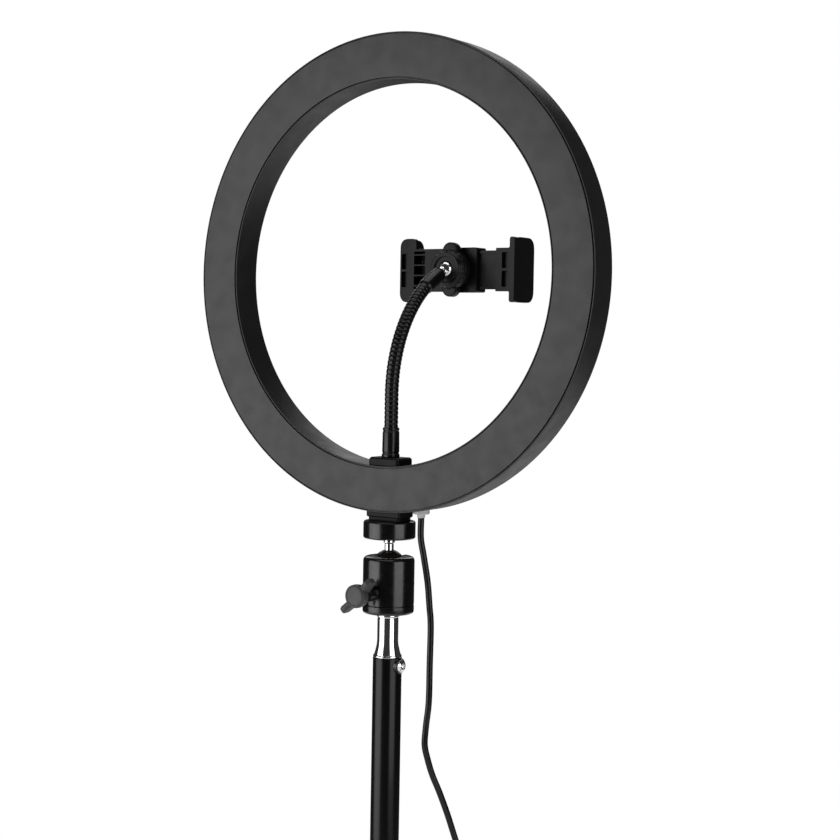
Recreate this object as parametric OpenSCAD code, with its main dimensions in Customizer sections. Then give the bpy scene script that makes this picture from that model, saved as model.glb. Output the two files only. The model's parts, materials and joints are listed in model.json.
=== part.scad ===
// Ring light with a gooseneck phone clamp, on a ball head and a telescoping tripod stand.
// Millimetres, +Z up. The origin is on the floor under the mast, and the light shines towards -Y.

/* [Light ring] */
// Outside diameter of the ring
ring_od = 260; // [255:1:265]
// Diameter of the ring's open centre
ring_id = 209.2; // [204:0.2:212]
// Depth of the ring from its back to its diffuser
ring_depth = 19; // [18:0.5:22]
// Wall thickness of the moulded rear shell
shell_wall = 1.8; // [1.6:0.1:2]
// Number of light-emitting diodes in each of the two rows
leds_per_row = 60; // [40:1:60]

/* [Stand] */
// Height of the ring's centre above the floor
ring_height = 1250; // [1240:1:1270]
// Outside diameter of the lower mast tube
lower_tube_od = 22; // [22:0.1:22.2]
// Outside diameter of the middle mast tube
middle_tube_od = 19; // [18.9:0.1:19]
// Outside diameter of the upper mast tube
upper_tube_od = 16; // [15.8:0.1:16]
// Length of each mast tube
tube_length = 400; // [398:1:402]
// Height of the stays' hinges on the base hub
hub_hinge_height = 62; // [60:1:64]
// Length of a stay between its hinges
stay_length = 150; // [148:1:152]
// Angle between a spread leg and the mast
leg_angle = 58; // [56:1:58]

/* [Ball head] */
// Radius of the ball
ball_r = 9.2; // [9:0.1:9.2]
// Radius of the ball housing
housing_r = 14.2; // [14:0.1:14.4]
// Distance from the ring's centre down to the ball's centre
ball_drop = 160; // [160:0.1:160.4]

/* [Gooseneck] */
// Radius of the flexible hose
hose_r = 3.8; // [3.6:0.1:3.9]
// Radius of the bend that the hose rests in
neck_bend_r = 74; // [72:1:76]
// Angle of the bend at rest
neck_bend_angle = 67; // [65:1:69]

/* [Phone clamp] */
// Gap between the jaw pads at rest
jaw_gap = 72; // [68:1:74]
// Height of the jaws
jaw_height = 37; // [35:1:39]
// Depth of the jaws from back to front
jaw_depth = 22; // [21:0.5:23]

/* [Cord] */
// Diameter of the cord
cord_d = 3.5; // [3.4:0.1:3.6]
// Mean diameter of the stored coil
coil_d = 38.5; // [38:0.5:39]

/* [Hidden] */
$fn = 64;

ring_r = ring_od / 2;
hole_r = ring_id / 2;
half_depth = ring_depth / 2;
run_gap = 0.1;

// Mast heights
lower_top = 40 + tube_length;
middle_top = lower_top + 310;
upper_top = ring_height - 210.5;
lower_r = lower_tube_od / 2;
middle_r = middle_tube_od / 2;
upper_r = upper_tube_od / 2;
lower_bore = 9.9;
middle_bore = 8.4;
upper_bore = 6.8;
knob_azimuth = 330;

// Leg linkage: the stay reaches the leg's middle pivot, as far below the collar as above the hub
hinge_r = 24;
leg_azimuths = [270, 30, 150];
collar_height = hub_hinge_height + 2 * stay_length * cos(leg_angle);
foot_ball_r = 10.5;
foot_lift = 9;
leg_length = (collar_height - foot_lift) / cos(leg_angle);
leg_r = 7;
stay_gap = leg_r + 0.3;
stay_thick = 1.5;
rivet_r = 2;

// Ball head heights
ball_z = ring_height - ball_drop;
rim_z = ring_height - 154.6;
groove_z = ring_height - 180.6;
housing_bottom = ring_height - 186;
platform_bottom = ring_height - 145;
platform_top = ring_height - 135;
cavity_r = ball_r + 0.15;
seat_r = 9.6;
wing_z = ring_height - 173.5;

// Neck: up from its bracket, then round an arc about neck_centre that leans towards -Y
bracket_top = ring_height - 100;
bend_start_z = ring_height - 66;
neck_pivots = [17.5, 49.5];
pivot_gap = 0.8;
function neck_point(a) = [0, neck_bend_r * (cos(a) - 1), bend_start_z + neck_bend_r * sin(a)];
function neck_way(a) = [0, -sin(a), cos(a)];
shank = 8;
stud_ball_r = 5;
stud_ball = neck_point(neck_bend_angle) + shank * neck_way(neck_bend_angle);

// Phone clamp, about the axis through the stud's ball along Y
clamp_back = stud_ball.y - 9.5;
clamp_z = stud_ball.z;
pad_thick = 1.2;
jaw_thick = 2;
jaw_in = jaw_gap / 2 + pad_thick;
jaw_out = jaw_in + jaw_thick;
bar_height = 24.6;
frame_depth = 10;

// Cord: from the grommet down beside the mast, through the controller and along the floor to its coil
exit_x = -21;
exit_drop = 132;
cord_r = cord_d / 2;
route_from_ring = [
    [-21, 0, -132], [-21, 0, -143], [-22.8, -0.5, -153], [-24.6, -2, -167], [-25.4, -3, -180],
    [-25.8, -4, -191], [-25.6, -4, -212], [-25.4, -4, -233], [-23.8, -4, -247], [-23.2, -4, -257],
    [-24.2, -5.5, -265], [-25.8, -8, -274], [-28.4, -11.5, -284], [-30.6, -16, -296],
    [-32.5, -19, -306], [-37, -23, -325], [-45, -28, -360], [-54, -34, -420], [-60, -37.5, -500],
    [-64, -40, -610], [-64, -40, -770]
];
route_to_floor = [
    [-66, -41.5, 380], [-69, -43.5, 270], [-72, -45, 160], [-74, -46, 90], [-76, -48, 50],
    [-81, -51, 24], [-91, -57.5, 7], [-101, -64, 2.8], [-112, -70.5, 1.85], [-124, -78.2, 1.85],
    [-138, -87, 1.85]
];
route = concat([for (p = route_from_ring) [p.x, p.y, p.z + ring_height]], route_to_floor);
coil_centre = [-150.1, -67.7, 0];
coil_turn_r = coil_d / 2;
coil_half_band = 1.5 * cord_d;
coil_height = 2 * cord_d;
controller_z = 560;
controller_at = [-64, -40, controller_z];
controller_turn = 212;
plug_at = [-183.3, -53.7, 0];
plug_turn = 118;

// ---- shared shapes ----

// Points of an arc about a centre, from one angle to another
function arc(c, r, from, to, steps = 6) =
    [for (i = [0 : steps]) let (a = from + (to - from) * i / steps) c + r * [cos(a), sin(a)]];

// Outline of a rectangle with round corners, centred
function round_box(w, h, r) = concat(
    arc([w / 2 - r, h / 2 - r], r, 0, 90),
    arc([r - w / 2, h / 2 - r], r, 90, 180),
    arc([r - w / 2, r - h / 2], r, 180, 270),
    arc([w / 2 - r, r - h / 2], r, 270, 360)
);

// Outline of a bar with round ends from the origin along +X
function bar_outline(len, r) = concat(arc([len, 0], r, -90, 90, 12), arc([0, 0], r, 90, 270, 12));

// Turns a profile of radius and height about the ring's own axis, with height pointing to the front
module ring_turned(points) {
    translate([0, 0, ring_height]) rotate([90, 0, 0]) rotate_extrude($fn = 180) polygon(points);
}

// Turns a profile about the phone clamp's axis, with height pointing to the back
module clamp_turned(points) {
    translate([0, 0, clamp_z]) rotate([-90, 0, 0]) rotate_extrude() polygon(points);
}

// A cylinder along the ring's axis
module ring_bar(r, from, to) {
    translate([0, -from, ring_height]) rotate([90, 0, 0]) cylinder(r = r, h = to - from, $fn = 180);
}

// A straight rod between two heights on an upright axis
module rod(r, from, to) {
    translate([0, 0, from]) cylinder(r = r, h = to - from);
}

// A round tube between two heights on the mast's axis
module tube(r_out, r_in, from, to) {
    difference() {
        rod(r_out, from, to);
        rod(r_in, from - 1, to + 1);
    }
}

// Children that lie along +Z from the origin are turned to lie along local +X at a knob's height
module at_knob(z) {
    rotate([0, 0, knob_azimuth]) translate([0, 0, z]) rotate([0, 90, 0]) children();
}

// Children in a leg's own plane, where +X points away from the mast
module on_leg(i) {
    rotate([0, 0, leg_azimuths[i - 1]]) children();
}

// A cylinder across a leg's plane
module cross_pin(x, z, r, half_width) {
    translate([x, half_width, z]) rotate([90, 0, 0]) cylinder(r = r, h = 2 * half_width, $fn = 32);
}

// ---- base and legs ----

module hub_lug() {
    difference() {
        union() {
            translate([lower_r + 2, -leg_r, hub_hinge_height - 7]) cube([hinge_r - lower_r - 2, 2 * leg_r, 14]);
            cross_pin(hinge_r, hub_hinge_height, 7, leg_r);
        }
        cross_pin(hinge_r, hub_hinge_height, rivet_r + 0.05, leg_r + 1);
    }
}

module base_hub() {
    color("#17171a") difference() {
        union() {
            rotate_extrude() polygon([
                [0, 34], [14, 34], [16, 36], [16, 80], [14.5, 82], [lower_r, 82], [lower_r, 40], [0, 40]
            ]);
            for (i = [1 : 3]) on_leg(i) hub_lug();
        }
        rod(lower_r, 40, 90);
    }
}

module lower_tube() {
    color("#1c1c1f") tube(lower_r, lower_bore, 40, lower_top);
}

// Two flat strips and their two rivets, from the hub's hinge to the leg's middle pivot
module stay(i) {
    way = 90 - leg_angle;
    color("#1a1a1c") on_leg(i) translate([hinge_r, 0, hub_hinge_height]) rotate([0, -way, 0]) {
        for (side = [-1, 1]) translate([0, side * (stay_gap + stay_thick / 2), 0]) rotate([90, 0, 0])
            translate([0, 0, -stay_thick / 2]) linear_extrude(stay_thick) difference() {
                polygon(bar_outline(stay_length, 6));
                for (x = [0, stay_length]) translate([x, 0]) circle(rivet_r, $fn = 32);
            }
        for (x = [0, stay_length]) translate([x, 0, 0]) {
            cross_pin(0, 0, rivet_r, stay_gap + stay_thick);
            for (side = [0, 180]) rotate([side - 90, 0, 0])
                translate([0, 0, stay_gap + stay_thick]) cylinder(r = 3.4, h = 1.2, $fn = 32);
        }
    }
}

// Children drawn along +X run down the leg from its hinge on the collar
module along_leg(i) {
    on_leg(i) translate([hinge_r, 0, collar_height]) rotate([0, 90 - leg_angle, 0]) children();
}

module leg(i) {
    color("#1c1c1f") along_leg(i) {
        difference() {
            translate([-9, 0, 0]) rotate([0, 90, 0]) cylinder(r = leg_r, h = leg_length + 9);
            translate([9, 0, 0]) rotate([0, 90, 0]) cylinder(r = leg_r - 1.2, h = leg_length);
            cross_pin(0, 0, rivet_r, leg_r + 2);
            cross_pin(stay_length, 0, rivet_r + 0.05, leg_r + 2);
        }
        cross_pin(0, 0, rivet_r, leg_r + 4.8);
        for (side = [0, 180]) rotate([side - 90, 0, 0])
            translate([0, 0, leg_r + 3.75]) cylinder(r = 3.4, h = 1.2, $fn = 32);
    }
}

module foot(i) {
    color("#141416") difference() {
        along_leg(i) {
            translate([leg_length, 0, 0]) sphere(r = foot_ball_r);
            translate([leg_length - 34, 0, 0]) rotate([0, 90, 0]) cylinder(r1 = 8.6, r2 = foot_ball_r, h = 34);
        }
        along_leg(i) translate([leg_length - 40, 0, 0]) rotate([0, 90, 0]) cylinder(r = leg_r, h = 40);
        on_leg(i) translate([hinge_r, -50, -50]) cube([500, 100, 50]);
    }
}

module collar_lugs() {
    difference() {
        for (side = [-1, 1]) translate([0, side * (leg_r + 2.05), 0]) {
            translate([lower_r + 2, -1.7, collar_height - 8]) cube([hinge_r - lower_r - 2, 3.4, 16]);
            cross_pin(hinge_r, collar_height, 8, 1.7);
        }
        cross_pin(hinge_r, collar_height, rivet_r + 0.05, leg_r + 6);
    }
}

module leg_collar() {
    knob_z = collar_height + 8;
    color("#17171a") difference() {
        union() {
            rotate_extrude() polygon([
                [lower_r, collar_height - 18], [15, collar_height - 18], [16.5, collar_height - 16],
                [16.5, collar_height + 18], [15, collar_height + 20], [lower_r, collar_height + 20]
            ]);
            for (i = [1 : 3]) on_leg(i) collar_lugs();
            at_knob(knob_z) translate([0, 0, lower_r + 1]) cylinder(r = 7.5, h = 14);
        }
        rod(lower_r + run_gap, 0, collar_height + 40);
        at_knob(knob_z) cylinder(r = 3.1, h = 40);
        for (i = [1 : 3]) on_leg(i) translate([hinge_r, 0, collar_height]) rotate([0, 90 - leg_angle, 0])
            rotate([90, 0, 0]) translate([0, 0, -leg_r - 0.35]) cylinder(r = 11.5, h = 2 * leg_r + 0.7);
    }
}

// A five-lobed knob with its threaded shaft, along +Z from the shaft's tip
module lobed_knob(tip, seat) {
    difference() {
        rotate_extrude() polygon([
            [0, tip], [3, tip], [3, seat], [6, seat], [6, seat + 3], [11.8, seat + 3.5], [13.4, seat + 5],
            [13.4, seat + 12], [11.8, seat + 14], [5, seat + 14.6], [0, seat + 14.6]
        ]);
        for (i = [0 : 4]) rotate([0, 0, 72 * i]) translate([17, 0, seat + 2]) cylinder(r = 6, h = 16);
    }
}

module collar_knob() {
    color("#101012") at_knob(collar_height + 8) lobed_knob(lower_r + 0.1, 26.2);
}

// ---- mast ----

// A clamp that sits on one tube's top and grips the tube inside it
module mast_clamp(top, outer_r, inner_r) {
    difference() {
        union() {
            rotate_extrude() polygon([
                [inner_r, top - 26], [outer_r + 3, top - 26], [outer_r + 4.5, top - 24],
                [outer_r + 4.5, top + 15], [outer_r + 2.5, top + 18], [inner_r, top + 18]
            ]);
            at_knob(top + 9) translate([0, 0, inner_r + 1]) cylinder(r = 7.5, h = outer_r + 5);
        }
        rod(outer_r, top - 30, top);
        rod(inner_r + run_gap, top - 1, top + 30);
        at_knob(top + 9) cylinder(r = 3.1, h = 40);
    }
}

module lower_clamp() {
    color("#141416") mast_clamp(lower_top, lower_r, middle_r);
}

module lower_knob() {
    color("#101012") at_knob(lower_top + 9) lobed_knob(middle_r + 0.1, middle_r + lower_r + 6.2);
}

module middle_tube() {
    color("#1c1c1f") tube(middle_r, middle_bore, middle_top - tube_length, middle_top);
}

// A plug in a tube's lower end, with a flange that runs in the tube outside it
module bush(bottom, flange_r, plug_r) {
    rotate_extrude() polygon([
        [plug_r - 1.5, bottom - 8], [flange_r, bottom - 8], [flange_r, bottom],
        [plug_r, bottom], [plug_r, bottom + 12], [plug_r - 1.5, bottom + 12]
    ]);
}

module middle_bush() {
    color("#2b2b2e") bush(middle_top - tube_length, lower_bore - 0.05, middle_bore);
}

module upper_clamp() {
    color("#141416") mast_clamp(middle_top, middle_r, upper_r);
}

module upper_knob() {
    color("#101012") at_knob(middle_top + 9) lobed_knob(upper_r + 0.1, upper_r + middle_r + 6.2);
}

module screw_bore(r) {
    translate([-30, 0, upper_top - 4.2]) rotate([0, 90, 0]) cylinder(r = r, h = 28, $fn = 32);
}

module upper_tube() {
    color("#19191b") difference() {
        tube(upper_r, upper_bore, upper_top - tube_length, upper_top);
        screw_bore(1.6);
    }
}

module upper_bush() {
    color("#2b2b2e") bush(upper_top - tube_length, middle_bore - 0.05, upper_bore);
}

module spigot() {
    top = housing_bottom;
    color("#d8d8dc") difference() {
        rotate_extrude() polygon([
            [0, upper_top - 16], [upper_bore, upper_top - 16], [upper_bore, upper_top], [upper_r, upper_top],
            [7.7, upper_top + 1.6], [6.1, upper_top + 6.6], [5.8, upper_top + 8.2], [5.8, top - 2.6],
            [6.2, top - 2.2], [6.2, top], [3, top], [3, top + 5], [0, top + 5]
        ]);
        screw_bore(1.6);
    }
}

// Local +Z runs out through the mast's -X side at the spigot screw
module at_spigot_screw() {
    translate([0, 0, upper_top - 4.2]) rotate([0, -90, 0]) children();
}

module spigot_screw() {
    color("#e0e0e4") at_spigot_screw() {
        translate([0, 0, 2]) cylinder(r = 1.6, h = 7.4, $fn = 32);
        intersection() {
            translate([0, 0, 7]) sphere(r = 3.9);
            translate([0, 0, 9.3]) cylinder(r = 5, h = 3);
        }
    }
}

module screw_washer() {
    color("#202022") difference() {
        at_spigot_screw() translate([0, 0, 6.9]) cylinder(r = 4.3, h = 2.4);
        rod(upper_r, upper_top - 20, upper_top + 20);
        screw_bore(1.6);
    }
}

// ---- ball head ----

module head_housing() {
    flat_top = sqrt(pow(cavity_r, 2) - pow(rim_z - ball_z, 2));
    color("#101012") difference() {
        rotate_extrude() polygon(concat(
            [[3, groove_z], [housing_r, groove_z]],
            arc([housing_r - 2.4, rim_z - 2.4], 2.4, 0, 90),
            [[flat_top - 2, rim_z]]
        ));
        translate([0, 0, ball_z]) sphere(r = cavity_r, $fn = 96);
        rod(seat_r + run_gap, groove_z - 1, ball_z);
        // The notch that lets the stem lie down towards the front
        translate([0, -4, ball_z]) rotate([90, 0, 0]) cylinder(r = 3.2, h = 20);
        translate([-3.2, -24, ball_z]) cube([6.4, 20, 20]);
        // Threaded hole of the lock screw
        translate([0, 0, wing_z]) rotate([-90, 0, 0]) cylinder(r = 2.6, h = 40, $fn = 32);
    }
}

module head_base() {
    color("#101012") difference() {
        rotate_extrude() polygon(concat(
            arc([housing_r - 1.6, housing_bottom + 1.6], 1.6, -90, 0),
            [[housing_r, groove_z - 0.7], [13.3, groove_z - 0.7], [13.3, groove_z], [0, groove_z],
             [0, housing_bottom]]
        ));
        rod(3, housing_bottom - 1, housing_bottom + 5);
    }
}

// Two wings across a round hub, on a threaded shaft along +Y
module wing_screw() {
    color("#5c5c5e") translate([0, 0, wing_z]) rotate([-90, 0, 0]) {
        translate([0, 0, seat_r + 0.4]) cylinder(r = 2.5, h = 6, $fn = 32);
        translate([0, 0, housing_r + 0.4]) rotate_extrude() polygon([
            [0, 0], [3.4, 0], [3.4, 8.4], [4.6, 10], [6, 11.4], [6, 16.2], [5, 17.4], [0, 17.7]
        ]);
        rotate([0, 0, 45]) translate([0, 0, housing_r + 8.8]) for (side = [0, 180]) rotate([0, 0, side])
            translate([0, -1.6, 0]) rotate([90, 0, 0]) translate([0, 0, -3.2])
                linear_extrude(3.2) polygon([[3, 0], [8, 1], [11.6, 2.6], [12.9, 4.6], [12.7, 7.2], [11, 8.8],
                                             [8.4, 8.9], [3, 8]]);
    }
}

module ball_seat() {
    color("#e4e2da") difference() {
        rod(seat_r, groove_z + 0.3, ball_z - 3);
        translate([0, 0, ball_z]) sphere(r = ball_r + 0.1, $fn = 96);
    }
}

module ball() {
    color("#141416") difference() {
        translate([0, 0, ball_z]) sphere(r = ball_r, $fn = 96);
        rod(2.5, ball_z + 3, ball_z + 12);
    }
}

module stem_stud() {
    color("#d8d8dc") rotate_extrude() polygon([
        [0, ball_z + 3], [2.5, ball_z + 3], [2.5, platform_bottom - 1], [3, platform_bottom],
        [3, platform_top + 4.2], [2.4, platform_top + 4.8], [0, platform_top + 4.8]
    ]);
}

module platform() {
    color("#101012") difference() {
        rotate_extrude() polygon([
            [0, platform_bottom], [housing_r - 0.5, platform_bottom], [housing_r + 0.2, platform_bottom + 0.7],
            [housing_r + 0.2, platform_top - 0.6], [housing_r - 0.3, platform_top], [0, platform_top]
        ]);
        rod(3, platform_bottom - 1, platform_top + 1);
    }
}

// ---- light ring ----

// Places children at even angles round the ring, at a radius from its axis
module round_ring(count, r, offset = 0) {
    for (i = [0 : count - 1]) translate([0, 0, ring_height]) rotate([0, 360 * i / count + offset, 0])
        translate([0, 0, r]) children();
}

board_front = 2.6;
board_screw_r = 117;

module rear_shell() {
    back = -half_depth;
    lip = half_depth - 0.8;
    color("#3c3c3e") difference() {
        union() {
            ring_turned(concat(
                [[hole_r, lip]],
                arc([hole_r + 1.3, back + 1.3], 1.3, 180, 270),
                arc([ring_r - 1.3, back + 1.3], 1.3, 270, 360),
                [[ring_r, lip], [ring_r - shell_wall, lip], [ring_r - shell_wall, back + shell_wall],
                 [hole_r + shell_wall, back + shell_wall], [hole_r + shell_wall, lip]]
            ));
            round_ring(6, board_screw_r, 30) translate([0, half_depth - 1, 0]) rotate([90, 0, 0])
                cylinder(r = 3, h = half_depth, $fn = 32);
        }
        round_ring(6, board_screw_r, 30) translate([0, 4, 0]) rotate([90, 0, 0]) cylinder(r = 1, h = 10, $fn = 32);
        for (x = [-6, 6]) translate([x, 0, ring_height - 110]) cylinder(r = 1.5, h = 12, $fn = 32);
        for (x = [-7, 7]) translate([x, 0, ring_height - 134]) cylinder(r = 1.5, h = 12, $fn = 32);
        translate([exit_x, 0, ring_height - 134]) cylinder(r = 2.7, h = 12, $fn = 32);
    }
}

module diffuser() {
    inner = hole_r + shell_wall + 0.1;
    outer = ring_r - shell_wall - 0.1;
    color("#f4f3ee") ring_turned(concat(
        [[inner, board_front], [inner + 1.2, board_front], [inner + 1.2, 7.9], [outer - 1.2, 7.9],
         [outer - 1.2, board_front], [outer, board_front]],
        arc([outer - 1, half_depth - 1], 1, 0, 90, 3),
        arc([inner + 1, half_depth - 1], 1, 90, 180, 3)
    ));
}

module led_board() {
    color("#f0f0ee") difference() {
        ring_turned([[109, 1], [125.5, 1], [125.5, board_front], [109, board_front]]);
        round_ring(6, board_screw_r, 30) translate([0, 5, 0]) rotate([90, 0, 0]) cylinder(r = 1.2, h = 14, $fn = 32);
    }
}

module leds() {
    color("#f6e27a") for (row = [0, 1])
        round_ring(leds_per_row, row == 0 ? 113 : 121, row * 180 / leds_per_row)
            translate([-1.4, -board_front - 0.8, -1.75]) cube([2.8, 0.8, 3.5]);
}

module board_screws() {
    color("#b8b8bc") round_ring(6, board_screw_r, 30) translate([0, -board_front, 0]) rotate([90, 0, 0]) {
        cylinder(r = 2.2, h = 1.3, $fn = 32);
        translate([0, 0, -6]) cylinder(r = 1, h = 6.5, $fn = 32);
    }
}

module lower_bracket() {
    color("#131315") difference() {
        translate([0, 0, platform_top]) {
            linear_extrude(2) polygon(round_box(19.6, 12.2, 2));
            translate([0, 0, 2]) linear_extrude(6) polygon(round_box(21.8, 13.2, 2));
        }
        ring_bar(ring_r, -20, 20);
        rod(3, platform_top - 1, platform_top + 9);
        for (x = [-7, 7]) translate([x, 0, ring_height - 134]) cylinder(r = 1.3, h = 12, $fn = 32);
    }
}

module neck_bracket() {
    color("#131315") difference() {
        intersection() {
            translate([0, 0, ring_height - 106]) linear_extrude(6) polygon(round_box(20.5, 14.6, 2.5));
            ring_bar(hole_r, -20, 20);
        }
        rod(2.5, ring_height - 104, ring_height - 90);
        for (x = [-6, 6]) translate([x, 0, ring_height - 110]) cylinder(r = 1.3, h = 9, $fn = 32);
    }
}

module bracket_screws() {
    color("#b8b8bc") {
        for (x = [-6, 6]) translate([x, 0, ring_height]) {
            rod(2.4, -108.3, -106.8);
            rod(1.3, -107.5, -101.6);
        }
        for (x = [-7, 7]) translate([x, 0, ring_height]) {
            rod(2.4, -127.4, -125.9);
            rod(1.3, -133.6, -127);
        }
    }
}

module cable_grommet() {
    color("#c9c9cb") {
        difference() {
            translate([exit_x, 0, ring_height]) rod(4.2, -130.3, -126);
            ring_bar(ring_r, -20, 20);
        }
        translate([exit_x, 0, ring_height]) {
            rod(2.6, -129.2, -124);
            rod(2.3, 0.1 - exit_drop, -129);
        }
    }
}

// ---- gooseneck and its stud ----

// A stretch of the hose along its bend, from one angle to another
module hose_bend(from, to) {
    translate([0, -neck_bend_r, bend_start_z]) rotate([90, 0, 90]) rotate([0, 0, from])
        rotate_extrude(angle = to - from, $fn = 180) translate([neck_bend_r, 0]) circle(hose_r, $fn = 48);
}

module neck_ferrule() {
    color("#121214") difference() {
        rotate_extrude() polygon([
            [0, bracket_top - 4], [2.5, bracket_top - 4], [2.5, bracket_top], [4.9, bracket_top],
            [4.9, bracket_top + 2], [4.65, bracket_top + 3], [4.5, bracket_top + 19],
            [4.1, bracket_top + 20], [0, bracket_top + 20]
        ]);
        rod(hose_r + run_gap, bracket_top + 3, bracket_top + 30);
    }
}

module neck_lower() {
    color("#18181a") {
        rod(hose_r, bracket_top + 3.1, bend_start_z);
        hose_bend(0, neck_pivots[0] - pivot_gap);
    }
}

module neck_middle() {
    color("#18181a") hose_bend(neck_pivots[0] + pivot_gap, neck_pivots[1] - pivot_gap);
}

module neck_upper() {
    color("#18181a") hose_bend(neck_pivots[1] + pivot_gap, neck_bend_angle);
}

// Children along +Z run on from the hose's end
module at_neck_end() {
    translate(neck_point(neck_bend_angle)) rotate([neck_bend_angle, 0, 0]) children();
}

module ball_stud() {
    color("#dcdce0") at_neck_end() {
        rotate_extrude() polygon([[0, 0], [3.6, 0], [3.6, 1.4], [2.6, 2], [2.4, 5], [0, 5]]);
        translate([0, 0, shank]) sphere(r = stud_ball_r);
    }
}

// ---- phone clamp ----

module clamp_socket() {
    mouth = stud_ball.y + 1.5;
    bowl_r = stud_ball_r + run_gap;
    color("#111113") clamp_turned(concat(
        [[0, clamp_back - 1.9], [2.4, clamp_back - 1.9], [2.4, clamp_back], [10, clamp_back],
         [10, clamp_back + 1.6], [7.9, clamp_back + 1.6], [7.9, mouth]],
        arc([0, stud_ball.y], bowl_r, asin(1.5 / bowl_r), -90, 12)
    ));
}

module lock_nut() {
    back = clamp_back + 1.8;
    front = stud_ball.y + 2.4;
    color("#131315") difference() {
        union() {
            clamp_turned([[7, back], [10.6, back], [11, back + 1], [11, front - 2.5], [9.6, front], [7, front]]);
            for (side = [-1, 1]) translate([0, back, clamp_z + side * 10.6]) rotate([-90, 0, 0])
                cylinder(r = 5, h = 5);
            for (i = [0 : 23]) translate([0, back + 1.2, clamp_z]) rotate([-90, 15 * i, 0])
                translate([11, 0, 0]) cylinder(r = 0.45, h = 5.4, $fn = 16);
        }
        clamp_turned([[0, back - 1], [8, back - 1], [8, front - 0.8], [7.1, front - 0.8], [7.1, front + 1],
                      [0, front + 1]]);
    }
}

// A jaw at the +X end: its back flange, which reaches its full height at rise, its side plate and its lip
module jaw(rise) {
    front = clamp_back - jaw_depth;
    corner = min(8, jaw_out - rise - 1.2);
    translate([0, 0, clamp_z]) {
        translate([0, clamp_back - 3, 0]) rotate([-90, 0, 0]) linear_extrude(3) polygon(concat(
            [[27, -bar_height / 2], [rise - 0.8, -bar_height / 2], [rise, -bar_height / 2 - 0.8],
             [rise, 1 - jaw_height / 2], [rise + 1, -jaw_height / 2]],
            arc([jaw_out - corner, corner - jaw_height / 2], corner, -90, 0),
            arc([jaw_out - corner, jaw_height / 2 - corner], corner, 0, 90),
            [[rise + 1, jaw_height / 2], [rise, jaw_height / 2 - 1],
             [rise, bar_height / 2 + 0.8], [rise - 0.8, bar_height / 2], [27, bar_height / 2]]
        ));
        translate([jaw_in, clamp_back - 2, 0]) rotate([90, 0, 90]) linear_extrude(jaw_thick) polygon(concat(
            [[0, jaw_height / 2]],
            arc([7 - jaw_depth + 2, jaw_height / 2 - 7], 7, 90, 180),
            arc([7 - jaw_depth + 2, 7 - jaw_height / 2], 7, 180, 270),
            [[0, -jaw_height / 2]]
        ));
        translate([jaw_in - 4, front, -jaw_height / 2 + 7]) cube([5, 2, jaw_height - 14]);
    }
}

// The two slots in a jaw's back
module jaw_slots(inner) {
    for (z = [-9.8, 0.7]) translate([inner, clamp_back - 2, clamp_z + z]) cube([4.2, 3, 9.1]);
}

channel_back = clamp_back - 2.1;
channel_front = clamp_back - 7.6;

channel_height = 22.2;

// Recesses in the frame's back, with four thin ribs left between them
module rib_recesses() {
    difference() {
        translate([21.6, clamp_back - 1.2, clamp_z - 11]) cube([7.8, 3, 22]);
        for (z = [-9, -3, 3, 9]) translate([21, clamp_back - 2, clamp_z + z - 0.4]) cube([9, 5, 0.8]);
    }
}

module clamp_frame() {
    sleeve_end = -14;
    color("#161618") difference() {
        union() {
            translate([sleeve_end, clamp_back - frame_depth, clamp_z - 12.8]) cube([23, frame_depth, 25.6]);
            translate([9, clamp_back - frame_depth, clamp_z - bar_height / 2])
                cube([jaw_in - 9, frame_depth, bar_height]);
            jaw(28);
        }
        jaw_slots(34);
        rib_recesses();
        translate([sleeve_end - 1, channel_front, clamp_z - channel_height / 2])
            cube([41, channel_back - channel_front, channel_height]);
        translate([0, clamp_back + 1, clamp_z]) rotate([90, 0, 0]) cylinder(r = 2.5, h = 3.1);
    }
}

module frame_pad() {
    color("#0e0e10") translate([jaw_in - pad_thick, clamp_back - jaw_depth + 2.2, clamp_z - 14])
        cube([pad_thick, jaw_depth - frame_depth - 2.4, 28]);
}

module clamp_arm() {
    color("#161618") difference() {
        union() {
            mirror([1, 0, 0]) jaw(36);
            translate([-jaw_in - 0.5, channel_front + 0.1, clamp_z - channel_height / 2 + 0.1])
                cube([jaw_in + 7, channel_back - channel_front - 0.2, channel_height - 0.2]);
        }
        mirror([1, 0, 0]) jaw_slots(31);
        for (z = [-5, 5]) translate([-30, (channel_back + channel_front) / 2, clamp_z + z]) rotate([0, 90, 0])
            cylinder(r = 2.1, h = 50, $fn = 32);
    }
}

module arm_pad() {
    color("#0e0e10") mirror([1, 0, 0]) translate([jaw_in - pad_thick, clamp_back - jaw_depth + 2.2, clamp_z - 14])
        cube([pad_thick, jaw_depth - frame_depth - 2.4, 28]);
}

module jaw_springs() {
    color("#a8a8ac") for (z = [-5, 5])
        translate([-29.9, (channel_back + channel_front) / 2, clamp_z + z]) rotate([0, 90, 0]) difference() {
            cylinder(r = 1.8, h = 55.7, $fn = 32);
            translate([0, 0, -1]) cylinder(r = 1.2, h = 60, $fn = 32);
        }
}

// ---- cord ----

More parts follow.
